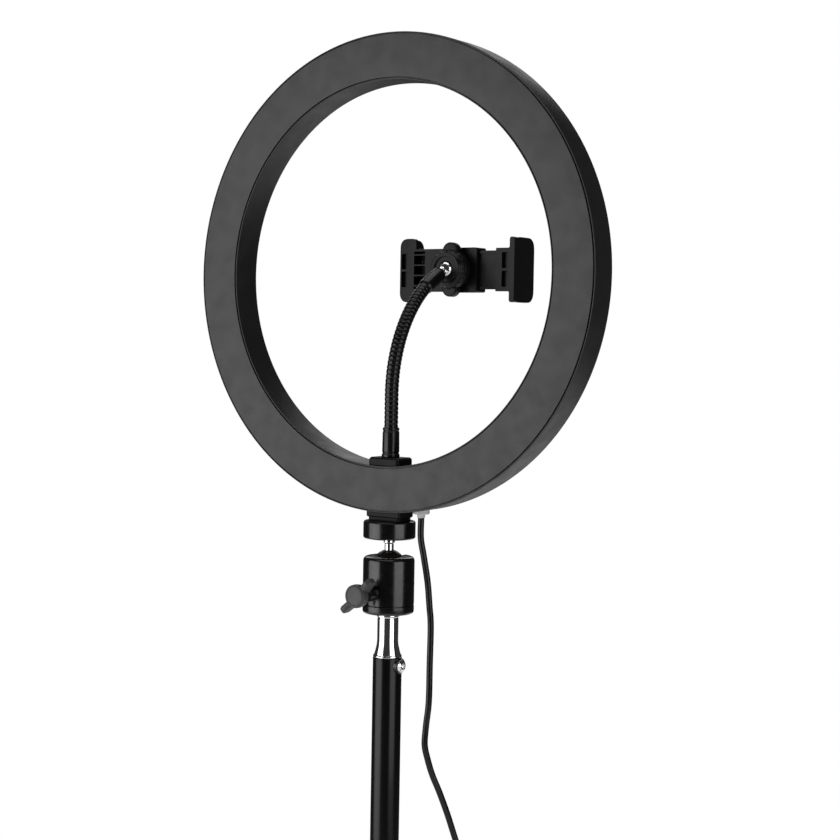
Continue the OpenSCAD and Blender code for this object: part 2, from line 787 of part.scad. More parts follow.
function unit(v) = v / norm(v);
function lerp_spline(a, b, c, d, t) = 0.5 * (
    2 * b + (c - a) * t + (2 * a - 5 * b + 4 * c - d) * t * t + (3 * b - a - 3 * c + d) * t * t * t
);
last = len(route) - 1;
function route_at(i) = route[max(0, min(last, i))];
steps_per_span = 2;
centreline = [
    for (i = [0 : last - 1], s = [0 : steps_per_span - 1])
        lerp_spline(route_at(i - 1), route_at(i), route_at(i + 1), route_at(i + 2), s / steps_per_span),
    route[last]
];
cord_sides = 8;
across = [sin(controller_turn), -cos(controller_turn), 0];
function tangent(i) = unit(
    centreline[min(len(centreline) - 1, i + 1)] - centreline[max(0, i - 1)]
);
function cord_ring(i) =
    let (t = tangent(i), u = unit(across - (across * t) * t), v = cross(t, u))
    [for (k = [0 : cord_sides - 1])
        centreline[i] + cord_r * (cos(360 * k / cord_sides) * u + sin(360 * k / cord_sides) * v)];

module cable() {
    rings = len(centreline);
    points = [for (i = [0 : rings - 1]) each cord_ring(i)];
    walls = [
        for (i = [0 : rings - 2], k = [0 : cord_sides - 1])
            let (a = i * cord_sides + k, b = i * cord_sides + (k + 1) % cord_sides)
            [a, a + cord_sides, b + cord_sides, b]
    ];
    start = [for (k = [0 : cord_sides - 1]) k];
    end = [for (k = [cord_sides - 1 : -1 : 0]) (rings - 1) * cord_sides + k];
    color("#121214") polyhedron(points, concat(walls, [start, end]), 4);
}

module cable_coil() {
    color("#121214") translate(coil_centre) rotate_extrude() translate([coil_turn_r, coil_height / 2])
        polygon(round_box(2 * coil_half_band, coil_height, 1.5));
}

// Children in the controller's frame: +Z up the cord, +X away from the mast
module at_controller() {
    translate(controller_at) rotate([0, 0, controller_turn]) children();
}
case_w = 20;
case_h = 86;
case_d = 13;

module controller_case() {
    color("#161618") at_controller() difference() {
        translate([-case_d / 2, 0, 0]) rotate([90, 0, 90]) linear_extrude(case_d * 0.55)
            polygon(round_box(case_w, case_h, 6));
        translate([-case_d / 2 + 1.4, 0, 0]) rotate([90, 0, 90]) linear_extrude(case_d)
            polygon(round_box(case_w - 3, case_h - 3, 4.5));
        translate([0, 0, -60]) cylinder(r = 2.9, h = 120);
    }
}

module controller_cover() {
    seam = case_d * 0.05;
    color("#1a1a1c") at_controller() difference() {
        translate([seam, 0, 0]) rotate([90, 0, 90]) linear_extrude(case_d / 2 - seam)
            polygon(round_box(case_w, case_h, 6));
        translate([seam - 1, 0, 0]) rotate([90, 0, 90]) linear_extrude(case_d / 2 - seam - 0.4)
            polygon(round_box(case_w - 3, case_h - 3, 4.5));
        translate([0, 0, -60]) cylinder(r = 2.9, h = 120);
        for (z = [-20, 0, 20]) translate([0, 0, z]) rotate([0, 90, 0]) cylinder(r = 5, h = 20);
    }
}

module button(z) {
    color("#6e6e70") at_controller() translate([0, 0, z]) rotate([0, 90, 0]) {
        translate([0, 0, case_d / 2 - 3]) cylinder(r = 4.8, h = 4.2);
        translate([0, 0, case_d / 2 - 3]) cylinder(r = 5.8, h = 0.9);
    }
}

module usb_plug() {
    color("#161618") translate(plug_at) rotate([0, 0, plug_turn]) {
        translate([0, -8, 0]) cube([28, 16, 8]);
        translate([-18, 0, 4]) rotate([0, 90, 0]) cylinder(r1 = 1.9, r2 = 3.6, h = 18.5);
        translate([27, -6, 1.75]) cube([13, 12, 4.5]);
    }
}

base_hub();
lower_tube();
lower_clamp();
lower_knob();
for (i = [1 : 3]) {
    stay(i);
    leg(i);
    foot(i);
}
leg_collar();
collar_knob();
middle_tube();
middle_bush();
upper_clamp();
upper_knob();
upper_tube();
upper_bush();
spigot();
spigot_screw();
screw_washer();
head_housing();
head_base();
wing_screw();
ball_seat();
ball();
stem_stud();
platform();
rear_shell();
diffuser();
led_board();
leds();
board_screws();
lower_bracket();
neck_bracket();
bracket_screws();
cable_grommet();
neck_ferrule();
neck_lower();
neck_middle();
neck_upper();
ball_stud();
clamp_socket();
lock_nut();
clamp_frame();
frame_pad();
clamp_arm();
arm_pad();
jaw_springs();
cable();
cable_coil();
controller_case();
controller_cover();
button(20);  // power_button
button(0);  // dim_button
button(-20);  // tone_button
usb_plug();
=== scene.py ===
import json
import math

import bmesh
import bpy
from mathutils import Matrix, Vector


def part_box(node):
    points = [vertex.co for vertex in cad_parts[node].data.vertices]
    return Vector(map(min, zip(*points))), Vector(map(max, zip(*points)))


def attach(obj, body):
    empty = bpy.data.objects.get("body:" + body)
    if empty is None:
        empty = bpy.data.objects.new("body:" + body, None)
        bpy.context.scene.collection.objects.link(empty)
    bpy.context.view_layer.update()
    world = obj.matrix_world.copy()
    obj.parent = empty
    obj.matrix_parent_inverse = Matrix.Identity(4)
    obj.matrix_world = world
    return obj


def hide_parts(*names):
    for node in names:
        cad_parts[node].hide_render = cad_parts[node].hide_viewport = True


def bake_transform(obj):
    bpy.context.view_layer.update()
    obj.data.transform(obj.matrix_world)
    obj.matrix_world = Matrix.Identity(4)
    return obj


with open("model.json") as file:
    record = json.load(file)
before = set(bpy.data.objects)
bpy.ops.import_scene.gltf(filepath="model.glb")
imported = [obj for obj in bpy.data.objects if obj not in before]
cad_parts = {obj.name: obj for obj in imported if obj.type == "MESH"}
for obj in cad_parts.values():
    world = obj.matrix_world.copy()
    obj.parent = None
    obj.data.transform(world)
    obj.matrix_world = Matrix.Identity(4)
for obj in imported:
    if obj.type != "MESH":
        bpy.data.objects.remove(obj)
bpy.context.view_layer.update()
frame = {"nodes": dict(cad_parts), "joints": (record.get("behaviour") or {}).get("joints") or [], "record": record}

MM = 0.001
X, Y, Z = Vector((1, 0, 0)), Vector((0, 1, 0)), Vector((0, 0, 1))
STILL = Matrix.Identity(4)
JOINTS = {joint["name"]: joint for joint in frame["joints"]}
MOUNTS = {mount["name"]: Vector(mount["pos_m"]) for mount in frame["record"]["mounts"]}


def placed(name, data):
    """A new object in the scene."""
    thing = bpy.data.objects.new(name, data)
    bpy.context.scene.collection.objects.link(thing)
    return thing


# ---- measures taken from the frame ----

def middle(node):
    low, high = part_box(node)
    return (low + high) / 2


def span(node):
    low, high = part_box(node)
    return high - low


def axis_point(joint):
    return Vector(JOINTS[joint]["pos_m"])


RING_Z = middle("rear_shell").z
RING_R = span("rear_shell").x / MM / 2


# ---- camera: its place from the ring's middle in metres, its angles in radians ----

CAMERA_FROM_RING = Vector((-0.5390, 0.7609, -0.0350))
CAMERA_YAW, CAMERA_PITCH, CAMERA_ROLL = 0.5994, -0.0475, 0.0172
LENS_MM = 72.86


def make_camera():
    data = bpy.data.cameras.new("camera")
    data.lens = LENS_MM
    camera = placed("camera", data)
    flat = math.cos(CAMERA_PITCH)
    ahead = Vector((math.sin(CAMERA_YAW) * flat, -math.cos(CAMERA_YAW) * flat, math.sin(CAMERA_PITCH)))
    right = ahead.cross(Z).normalized()
    up = right.cross(ahead)
    turned_right = right * math.cos(CAMERA_ROLL) + up * math.sin(CAMERA_ROLL)
    turned_up = up * math.cos(CAMERA_ROLL) - right * math.sin(CAMERA_ROLL)
    turn = Matrix((turned_right, turned_up, -ahead)).transposed().to_4x4()
    camera.matrix_world = Matrix.Translation(Vector((0, 0, RING_Z)) + CAMERA_FROM_RING) @ turn
    bpy.context.scene.camera = camera


make_camera()


# ---- materials ----

NOISE_LOW, NOISE_HIGH = 0.3, 0.7  # most of a noise lies between these


class Finish:
    """A procedural material under construction. Feature sizes are in millimetres."""

    def __init__(self, name, colour, rough, metal=0.0, specular=0.5, coat=0.0, coat_rough=0.05):
        self.material = bpy.data.materials.new(name)
        self.material.use_nodes = True
        self.tree = self.material.node_tree
        self.shader = self.tree.nodes["Principled BSDF"]
        self.colour, self.rough = colour, rough
        self.set("Base Color", (*colour, 1))
        self.set("Roughness", rough)
        self.set("Metallic", metal)
        self.set("Specular IOR Level", specular)
        self.set("Coat Weight", coat)
        self.set("Coat Roughness", coat_rough)
        self.place = self.node("ShaderNodeTexCoord").outputs["Object"]
        self.last_bump = None

    def set(self, socket, value):
        self.shader.inputs[socket].default_value = value

    def node(self, kind, **inputs):
        node = self.tree.nodes.new(kind)
        for key, value in inputs.items():
            node.inputs[key].default_value = value
        return node

    def link(self, source, target):
        self.tree.links.new(source, target)

    def noise(self, size, detail, stretch=(1, 1, 1), seed=0.0):
        """Noise whose features are size mm across, made longer by stretch along each axis."""
        mapping = self.node("ShaderNodeMapping", Location=(seed, seed, seed))
        mapping.inputs["Scale"].default_value = [1 / (size * MM * s) for s in stretch]
        self.link(self.place, mapping.inputs["Vector"])
        noise = self.node("ShaderNodeTexNoise", Scale=1.0, Detail=detail)
        self.link(mapping.outputs["Vector"], noise.inputs["Vector"])
        return noise.outputs["Fac"]

    def spread(self, source, low, high, from_low=NOISE_LOW, from_high=NOISE_HIGH):
        """The source as a number from low to high."""
        node = self.node("ShaderNodeMapRange")
        for key, value in zip(("From Min", "From Max", "To Min", "To Max"), (from_low, from_high, low, high)):
            node.inputs[key].default_value = value
        self.link(source, node.inputs["Value"])
        return node.outputs["Result"]

    def colours(self, source, first, second):
        """The base colour goes from first to second with the source."""
        ramp = self.node("ShaderNodeValToRGB")
        ramp.color_ramp.elements[0].position, ramp.color_ramp.elements[1].position = NOISE_LOW, NOISE_HIGH
        ramp.color_ramp.elements[0].color = (*first, 1)
        ramp.color_ramp.elements[1].color = (*second, 1)
        self.link(source, ramp.inputs["Fac"])
        self.link(ramp.outputs["Color"], self.shader.inputs["Base Color"])
        return self

    def mottled(self, size, amount, stretch=(1, 1, 1)):
        """The colour is darker and lighter by amount, in patches of that size."""
        dark = [c * (1 - amount) for c in self.colour]
        light = [min(1, c * (1 + amount)) for c in self.colour]
        return self.colours(self.noise(size, 4.0, stretch, seed=3.1), dark, light)

    def uneven(self, size, amount, stretch=(1, 1, 1)):
        """The roughness goes up and down by amount."""
        noise = self.noise(size, 3.0, stretch, seed=7.7)
        varied = self.spread(noise, self.rough - amount, self.rough + amount)
        self.link(varied, self.shader.inputs["Roughness"])
        return self

    def bump(self, source, height):
        node = self.node("ShaderNodeBump", Strength=1.0, Distance=height * MM)
        self.link(source, node.inputs["Height"])
        return node

    def grained(self, size, height, detail=2.0, stretch=(1, 1, 1)):
        """A relief of that height, with grains of that size, on top of any earlier one."""
        node = self.bump(self.noise(size, detail, stretch, seed=1.3), height)
        if self.last_bump:
            self.link(self.last_bump, node.inputs["Normal"])
        self.last_bump = node.outputs["Normal"]
        self.link(self.last_bump, self.shader.inputs["Normal"])
        return self

    def coat_grained(self, size, height):
        """An uneven clear coat, as orange peel."""
        node = self.bump(self.noise(size, 1.0, seed=5.2), height)
        self.link(node.outputs["Normal"], self.shader.inputs["Coat Normal"])
        return self


def moulded_plastic(name, colour, rough, grain=0.35, height=0.012, mottle=0.12, specular=0.45):
    """Injection-moulded plastic with a spark-eroded grain and faint flow marks."""
    finish = Finish(name, colour, rough, specular=specular)
    finish.mottled(26, mottle).uneven(9, 0.05)
    return finish.grained(grain, height).grained(3.5, 0.02).material


def gloss_lacquer(name, colour, rough=0.22, specular=0.42, coat=0.25):
    """Gloss black lacquer with orange peel, faint handling marks and a clear coat."""
    finish = Finish(name, colour, rough, specular=specular, coat=coat, coat_rough=0.12)
    finish.mottled(14, 0.2).uneven(5, 0.05)
    finish.grained(1.6, 0.004)
    return finish.coat_grained(2.4, 0.003).material


def drawn_tube(name, colour):
    """Black stove-enamelled tube, with the faint lengthwise lines of its drawing."""
    finish = Finish(name, colour, 0.24, specular=0.24, coat=0.1, coat_rough=0.06)
    finish.mottled(18, 0.15, stretch=(1, 1, 8)).uneven(4, 0.04, stretch=(1, 1, 25))
    finish.grained(0.7, 0.004, stretch=(1, 1, 40))
    return finish.coat_grained(1.2, 0.004).material


def powder_coat(name, colour):
    """Satin powder coat: a fine, even orange peel."""
    finish = Finish(name, colour, 0.42, specular=0.5, coat=0.15, coat_rough=0.3)
    finish.mottled(20, 0.15).uneven(6, 0.06)
    return finish.grained(0.9, 0.012).grained(0.25, 0.004).material


def plated(name, colour, rough):
    """Turned and plated metal: fine marks round the axis, and a little haze."""
    finish = Finish(name, colour, rough, metal=1.0)
    finish.mottled(12, 0.04).uneven(3, 0.035)
    return finish.grained(0.18, 0.0012, stretch=(30, 30, 1)).material


def rubber(name, colour, rough=0.62, grain=0.5):
    """Moulded rubber with a dusty, fine-grained skin."""
    finish = Finish(name, colour, rough, specular=0.35)
    finish.set("Sheen Weight", 0.12)
    finish.set("Sheen Roughness", 0.5)
    finish.mottled(7, 0.22).uneven(3, 0.07)
    return finish.grained(grain, 0.014).material


def cord_pvc(name):
    """Soft PVC jacket: satin, with the slight waviness of its extrusion."""
    finish = Finish(name, (0.004, 0.004, 0.0042), 0.24, specular=0.32)
    finish.mottled(15, 0.2).uneven(5, 0.06)
    return finish.grained(0.3, 0.004).grained(6, 0.05).material


def opal(name):
    """Milky diffuser: light scatters in it, its front has a fine frost, and a faint painted glow stands in for
    front light falling on it.
    """
    finish = Finish(name, (0.9, 0.89, 0.86), 0.38, specular=0.4)
    finish.set("Subsurface Weight", 0.35)
    finish.set("Subsurface Scale", 0.004)
    finish.set("Subsurface Radius", (1.0, 0.95, 0.85))
    # Painted glow: the diffuser gives off a faint light of its own, in place of front light falling on it.
    finish.set("Emission Color", (1, 0.98, 0.94, 1))
    finish.set("Emission Strength", 0.3)
    finish.mottled(30, 0.015).uneven(8, 0.04)
    return finish.grained(0.4, 0.008).material


def solder_mask(name):
    """White circuit board, with the copper tracks showing faintly as relief."""
    finish = Finish(name, (0.8, 0.81, 0.79), 0.3, specular=0.5)
    finish.mottled(5, 0.05).uneven(4, 0.05)
    return finish.grained(1.4, 0.02, detail=0.0).material


def phosphor(name):
    """Yellow phosphor under clear resin, with specks."""
    finish = Finish(name, (0.85, 0.68, 0.12), 0.2, specular=0.5, coat=0.5)
    return finish.mottled(0.4, 0.12).grained(0.2, 0.01).material


SHELL = moulded_plastic("shell_plastic", (0.011, 0.011, 0.0112), 0.4, grain=0.45, height=0.012, mottle=0.05)
CLAMP_BLACK = moulded_plastic("clamp_black", (0.007, 0.0063, 0.0063), 0.3, grain=0.3, height=0.006,
                              specular=0.16)
NYLON_BLACK = moulded_plastic("nylon_black", (0.018, 0.018, 0.019), 0.42, grain=0.5, height=0.016)
KNOB_BLACK = moulded_plastic("knob_black", (0.014, 0.014, 0.015), 0.36, grain=0.6, height=0.018)
REMOTE_BLACK = moulded_plastic("remote_black", (0.018, 0.018, 0.019), 0.38, grain=0.4, height=0.012)
BRACKET_BLACK = moulded_plastic("bracket_black", (0.007, 0.007, 0.0073), 0.38, grain=0.4, height=0.006,
                                specular=0.12)
BUSH_GREY = moulded_plastic("bush_grey", (0.1, 0.1, 0.1), 0.4)
WING_GREY = moulded_plastic("wing_grey", (0.045, 0.045, 0.046), 0.46, grain=0.4, height=0.014)
GROMMET_GREY = moulded_plastic("grommet_grey", (0.5, 0.5, 0.51), 0.4, grain=0.4, height=0.01, mottle=0.06)
SEAT_NYLON = moulded_plastic("seat_nylon", (0.7, 0.68, 0.62), 0.4, mottle=0.05)
HEAD_BLACK = gloss_lacquer("head_black", (0.0025, 0.0025, 0.0027))
BALL_BROWN = gloss_lacquer("ball_black", (0.012, 0.008, 0.007), 0.3)
HOSE_BLACK = gloss_lacquer("hose_black", (0.004, 0.004, 0.0042), 0.24, specular=0.3, coat=0.15)
TUBE_BLACK = drawn_tube("tube_black", (0.003, 0.003, 0.0032))
STAND_BLACK = powder_coat("stand_black", (0.018, 0.018, 0.019))
CHROME = plated("chrome", (0.86, 0.86, 0.87), 0.07)
STEEL = plated("zinc_steel", (0.6, 0.6, 0.6), 0.24)
SPRING_STEEL = plated("spring_steel", (0.5, 0.5, 0.51), 0.28)
FOOT_RUBBER = rubber("foot_rubber", (0.014, 0.014, 0.0145))
PAD_RUBBER = rubber("pad_rubber", (0.01, 0.01, 0.0105), 0.55, 0.3)
BUTTON_RUBBER = rubber("button_rubber", (0.16, 0.16, 0.165), 0.5, 0.3)
CORD_BLACK = cord_pvc("cord_black")
OPAL_PAINTED_GLOW = opal("opal_diffuser_painted_glow")
BOARD = solder_mask("board_white")
PHOSPHOR = phosphor("led_phosphor")
SLOT_FINISH = {
    "stand_black": STAND_BLACK, "clamp_plastic": NYLON_BLACK, "knob_plastic": KNOB_BLACK,
    "foot_rubber": FOOT_RUBBER, "bush_plastic": BUSH_GREY, "chrome": CHROME, "steel": STEEL,
    "washer_black": HEAD_BLACK, "head_black": HEAD_BLACK, "wing_grey": WING_GREY, "seat_nylon": SEAT_NYLON,
    "ball_black": BALL_BROWN, "shell_plastic": SHELL, "diffuser_white": OPAL_PAINTED_GLOW, "board_white": BOARD,
    "led_yellow": PHOSPHOR, "grommet_grey": GROMMET_GREY, "neck_black": HOSE_BLACK,
    "clamp_black": CLAMP_BLACK, "pad_rubber": PAD_RUBBER, "cord_pvc": CORD_BLACK,
    "remote_plastic": REMOTE_BLACK, "button_rubber": BUTTON_RUBBER,
}


# ---- mesh tools ----

SHARP_ANGLE = 35  # degrees, over which an edge is rounded


def arc_points(centre, radius, start, end, steps=8):
    """Points (u, v) of an arc, with angles in degrees."""
    made = []
    for i in range(steps + 1):
        angle = math.radians(start + (end - start) * i / steps)
        made.append((centre[0] + radius * math.cos(angle), centre[1] + radius * math.sin(angle)))
    return made


def rounded(points, closed=True, steps=5):
    """Corners (u, v) or (u, v, radius) as an outline with those corners rounded."""
    made = []
    for i, corner in enumerate(points):
        here = Vector(corner[:2])
        radius = corner[2] if len(corner) > 2 else 0
        if radius == 0 or (not closed and i in (0, len(points) - 1)):
            made.append(here)
            continue
        before = Vector(points[i - 1][:2]) - here
        after = Vector(points[(i + 1) % len(points)][:2]) - here
        reach = min(radius / math.tan(before.angle(after) / 2), 0.49 * before.length, 0.49 * after.length)
        first, last = here + before.normalized() * reach, here + after.normalized() * reach
        for k in range(steps + 1):
            t = k / steps
            made.append(first * (1 - t) ** 2 + here * 2 * t * (1 - t) + last * t * t)
    return made


def finished(name, mesh_data, body, replaces, slot, finish=None, sharp=40):
    """Makes the piece from a bmesh, with its slot's finish or the given one, and hangs it on its body."""
    bmesh.ops.recalc_face_normals(mesh_data, faces=mesh_data.faces)
    mesh = bpy.data.meshes.new(name)
    mesh_data.to_mesh(mesh)
    mesh_data.free()
    mesh.materials.append(finish or SLOT_FINISH[slot])
    for polygon in mesh.polygons:
        polygon.use_smooth = True
    mesh.set_sharp_from_angle(angle=math.radians(sharp))
    piece = placed(name, mesh)
    if body:
        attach(piece, body)
    if replaces:
        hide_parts(*replaces)
    return piece


def bridge(target, low, high):
    """Joins two rings of vertices with faces. A ring of one vertex is a tip."""
    steps = max(len(low), len(high))
    for k in range(steps):
        after = (k + 1) % steps
        corners = [low[k % len(low)], low[after % len(low)], high[after % len(high)], high[k % len(high)]]
        unique = list(dict.fromkeys(corners))
        if len(unique) > 2:
            target.faces.new(unique)


def add_turned(target, profile, place=STILL, steps=96, closed=False):
    """Adds a solid about local Z. Its profile is (radius, height) in mm; a radius may depend on the angle."""
    rings = []
    for radius, height in profile:
        if radius == 0:
            rings.append([target.verts.new(place @ Vector((0, 0, height * MM)))])
            continue
        ring = []
        for k in range(steps):
            angle = math.tau * k / steps
            reach = radius(angle) if callable(radius) else radius
            point = Vector((reach * math.cos(angle), reach * math.sin(angle), height)) * MM
            ring.append(target.verts.new(place @ point))
        rings.append(ring)
    for low, high in zip(rings, rings[1:]):
        bridge(target, low, high)
    if closed:
        bridge(target, rings[-1], rings[0])
    return target


def turned(profile, place=STILL, steps=96, closed=False, smooth_steps=5):
    return add_turned(bmesh.new(), rounded(profile, closed, smooth_steps), place, steps, closed)


def add_slab(target, outline, low, high, place=STILL, edge=0.0, segments=2):
    """Adds an outline (u, v) in mm, extruded from one height to the other, with its edges rounded."""
    made = bmesh.new()
    bottom = [made.verts.new(Vector((u, v, low)) * MM) for u, v in outline]
    face = made.faces.new(bottom)
    risen = bmesh.ops.extrude_face_region(made, geom=[face])
    moved = [item for item in risen["geom"] if isinstance(item, bmesh.types.BMVert)]
    bmesh.ops.translate(made, verts=moved, vec=Vector((0, 0, high - low)) * MM)
    if edge:
        made.normal_update()
        sharp = [e for e in made.edges if e.calc_face_angle(0) > math.radians(50)]
        bmesh.ops.bevel(made, geom=sharp, offset=edge * MM, segments=segments, profile=0.5, affect="EDGES")
    return join(target, made, place)


def join(target, made, place):
    """Copies made's faces into target, moved by place, and frees made."""
    copies = {v: target.verts.new(place @ v.co) for v in made.verts}
    for face in made.faces:
        target.faces.new([copies[v] for v in face.verts])
    made.free()
    return target


def box_outline(width, height, radius, steps=6):
    w, h = width / 2, height / 2
    return rounded([(w, h, radius), (-w, h, radius), (-w, -h, radius), (w, -h, radius)], steps=steps)


def add_sweep(target, path, radius_at, sides):
    """Adds a round tube along a path in metres. radius_at gives the radius in mm at a length in mm."""
    rings, travelled, side = [], 0.0, None
    for i, here in enumerate(path):
        ahead = path[min(i + 1, len(path) - 1)] - path[max(i - 1, 0)]
        along = ahead.normalized()
        start = X if side is None else side
        side = (start - along * start.dot(along)).normalized()
        other = along.cross(side)
        if i:
            travelled += (here - path[i - 1]).length
        radius = radius_at(travelled / MM) * MM
        ring = []
        for k in range(sides):
            angle = math.tau * k / sides
            ring.append(target.verts.new(here + (side * math.cos(angle) + other * math.sin(angle)) * radius))
        rings.append(ring)
    for low, high in zip(rings, rings[1:]):
        bridge(target, low, high)
    target.faces.new(rings[0][::-1])
    target.faces.new(rings[-1])
    return target


def carved(solid, cutter):
    """The union of solid's shells, less the cutter's, as a new bmesh. Both are used up."""
    pair = []
    for kind, made in (("solid", solid), ("cutter", cutter)):
        bmesh.ops.recalc_face_normals(made, faces=made.faces)
        mesh = bpy.data.meshes.new(kind)
        made.to_mesh(mesh)
        made.free()
        pair.append(placed(kind, mesh))
    cut = pair[0].modifiers.new("cut", "BOOLEAN")
    cut.operation, cut.solver, cut.use_self, cut.object = "DIFFERENCE", "EXACT", True, pair[1]
    result = bmesh.new()
    result.from_object(pair[0], bpy.context.evaluated_depsgraph_get())
    for thing in pair:
        mesh = thing.data
        bpy.data.objects.remove(thing)
        bpy.data.meshes.remove(mesh)
    bmesh.ops.remove_doubles(result, verts=result.verts, dist=0.001 * MM)
    bmesh.ops.dissolve_limit(result, angle_limit=math.radians(0.5), verts=result.verts, edges=result.edges)
    return result


def bevelled(piece, width):
    """Rounds the piece's edges with a modifier, by a width in mm."""
    bevel = piece.modifiers.new("edges", "BEVEL")
    bevel.width, bevel.segments = width * MM, 2
    bevel.limit_method, bevel.angle_limit = "ANGLE", math.radians(SHARP_ANGLE)
    bevel.harden_normals = True
    return piece


def axes(origin, along, side=None):
    """Local +Z runs along the given direction, and +X as near as possible to side."""
    w = Vector(along).normalized()
    start = Vector(side) if side else (X if abs(w.x) < 0.9 else Y)
    u = (start - w * start.dot(w)).normalized()
    turn = Matrix((u, w.cross(u), w)).transposed().to_4x4()
    return Matrix.Translation(Vector(origin)) @ turn


RING_PLACE = axes((0, 0, RING_Z), -Y, X)


# ---- cord ----

CORD_D = 3.5
CORD_R = CORD_D / 2
FLOOR_LIE = 1.85
ROUTE_FROM_RING = [
    (-21, 0, -132), (-21, 0, -143), (-22.8, -0.5, -153), (-24.6, -2, -167), (-25.4, -3, -180),
    (-25.8, -4, -191), (-25.6, -4, -212), (-25.4, -4, -233), (-23.8, -4, -247), (-23.2, -4, -257),
    (-24.2, -5.5, -265), (-25.8, -8, -274), (-28.4, -11.5, -284), (-30.6, -16, -296),
    (-32.5, -19, -306), (-37, -23, -325), (-45, -28, -360), (-54, -34, -420), (-60, -37.5, -500),
    (-64, -40, -610), (-64, -40, -770),
]
ROUTE_TO_FLOOR = [
    (-66, -41.5, 380), (-69, -43.5, 270), (-72, -45, 160), (-74, -46, 90), (-76, -48, 50),
    (-81, -51, 24), (-91, -57.5, 7), (-101, -64, 2.8), (-112, -70.5, FLOOR_LIE),
    (-124, -78.2, FLOOR_LIE), (-138, -87, FLOOR_LIE),
]
COIL_CENTRE = Vector((-150.1, -67.7, 0)) * MM
COIL_R = 19.25
COIL_ENTRY = 302
COIL_EXIT_TURN = 1894
PLUG_ANGLE = math.radians(118)
PLUG_WAY = Vector((math.cos(PLUG_ANGLE), math.sin(PLUG_ANGLE), 0))


def smooth_path(points, steps=8):
    """A Catmull-Rom curve through the points."""
    made = []
    for i in range(len(points) - 1):
        a, b, c, d = (points[max(0, min(len(points) - 1, k))] for k in (i - 1, i, i + 1, i + 2))
        for step in range(steps):
            t = step / steps
            made.append(0.5 * (2 * b + (c - a) * t + (2 * a - 5 * b + 4 * c - d) * t ** 2
                               + (3 * b - a - 3 * c + d) * t ** 3))
    return made + [points[-1]]


def eased(turn, start, end):
    """0 before start, 1 after end, and smooth between."""
    t = max(0.0, min(1.0, (turn - start) / (end - start)))
    return t * t * (3 - 2 * t)


def coil_point(turn):
    """The cord's middle after that many degrees of winding: inwards on the floor, then outwards on top."""
    shift = -1.0 + eased(turn, 270, 360) + eased(turn, 630, 720)
    shift -= eased(turn, 1170, 1260) + eased(turn, 1530, 1620)
    radius = (COIL_R - shift * CORD_D) * MM
    height = (FLOOR_LIE + CORD_D * eased(turn, 900, 990)) * MM
    angle = math.radians(COIL_ENTRY - turn)
    return COIL_CENTRE + Vector((radius * math.cos(angle), radius * math.sin(angle), height))


def cord_path():
    hanging = [Vector((x, y, z + RING_Z / MM)) * MM for x, y, z in ROUTE_FROM_RING]
    lying = [Vector(point) * MM for point in ROUTE_TO_FLOOR]
    path = smooth_path(hanging + lying)
    path += [coil_point(turn) for turn in range(12, COIL_EXIT_TURN, 12)]
    leave = coil_point(COIL_EXIT_TURN)
    drops = [(0, 0), (4, 0), (8, 0.1), (12, 0.9), (16, 1.3), (22, 1.35), (27.5, 1.35)]
    return path + [leave + (PLUG_WAY * far - Z * drop) * MM for far, drop in drops]


CORD_PATH = cord_path()


def path_length(path):
    return sum((b - a).length for a, b in zip(path, path[1:]))


def make_cord():
    made = add_sweep(bmesh.new(), CORD_PATH, lambda length: CORD_R, sides=20)
    return finished("power_cord", made, None, ["cable", "cable_coil"], "cord_pvc")


CORD_EXIT = CORD_PATH[0]

power_cord = make_cord()
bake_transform(power_cord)


# ---- light ring ----

RING_HOLE_R = 104.6
RING_BACK, RING_LIP, RING_FRONT = -9.5, 8.7, 9.5
SHELL_WALL = 1.8
DIFFUSER_SEAT = 2.6


def make_shell():
    wall_out, wall_in = RING_R - SHELL_WALL, RING_HOLE_R + SHELL_WALL
    rim, well = RING_BACK + 0.3, RING_BACK + 1.25
    profile = [
        (RING_R, RING_LIP, 0.5), (RING_R, rim, 0.4), (RING_R - 0.6, rim, 0.15),
        (RING_R - 0.65, well, 0.1), (RING_R - 1.2, well, 0.1), (RING_R - 1.25, RING_BACK, 0.15),
        (RING_HOLE_R + 1.25, RING_BACK, 0.15), (RING_HOLE_R + 1.2, well, 0.1),
        (RING_HOLE_R + 0.65, well, 0.1), (RING_HOLE_R + 0.6, rim, 0.15), (RING_HOLE_R, rim, 0.4),
        (RING_HOLE_R, RING_LIP, 0.5), (wall_in, RING_LIP, 0.3), (wall_in, RING_BACK + SHELL_WALL, 0.5),
        (wall_out, RING_BACK + SHELL_WALL, 0.5), (wall_out, RING_LIP, 0.3),
    ]
    made = turned(profile, RING_PLACE, 288, closed=True)
    return finished("ring_shell", made, "ring_head", ["rear_shell"], "shell_plastic")


def make_diffuser():
    inner, outer, skin = RING_HOLE_R + SHELL_WALL + 0.1, RING_R - SHELL_WALL - 0.1, 1.2
    profile = [
        (inner, DIFFUSER_SEAT), (inner, RING_FRONT - 0.4, 0.8), ((inner + outer) / 2, RING_FRONT, 60),
        (outer, RING_FRONT - 0.4, 0.8), (outer, DIFFUSER_SEAT), (outer - skin, DIFFUSER_SEAT),
        (outer - skin, RING_FRONT - 1.6, 0.5), (inner + skin, RING_FRONT - 1.6, 0.5),
        (inner + skin, DIFFUSER_SEAT),
    ]
    made = turned(profile, RING_PLACE, 288, closed=True, smooth_steps=8)
    return finished("ring_diffuser", made, "ring_head", ["diffuser"], "diffuser_white")


make_shell()
make_diffuser()


# ---- gooseneck ----

NECK_R = 74
NECK_END = 67
HOSE_R = 3.8
RIB_PITCH = 2.5
RIB_DEPTH = 0.3
HOSE_FOOT_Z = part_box("neck_lower")[0].z
NECK_BEND_Z = axis_point("neck_swing").z + 14 * MM


def neck_angle(joint):
    """The arc angle of a bend joint, in degrees."""
    point = axis_point(joint)
    return math.degrees(math.atan2(point.z - NECK_BEND_Z, point.y + NECK_R * MM))


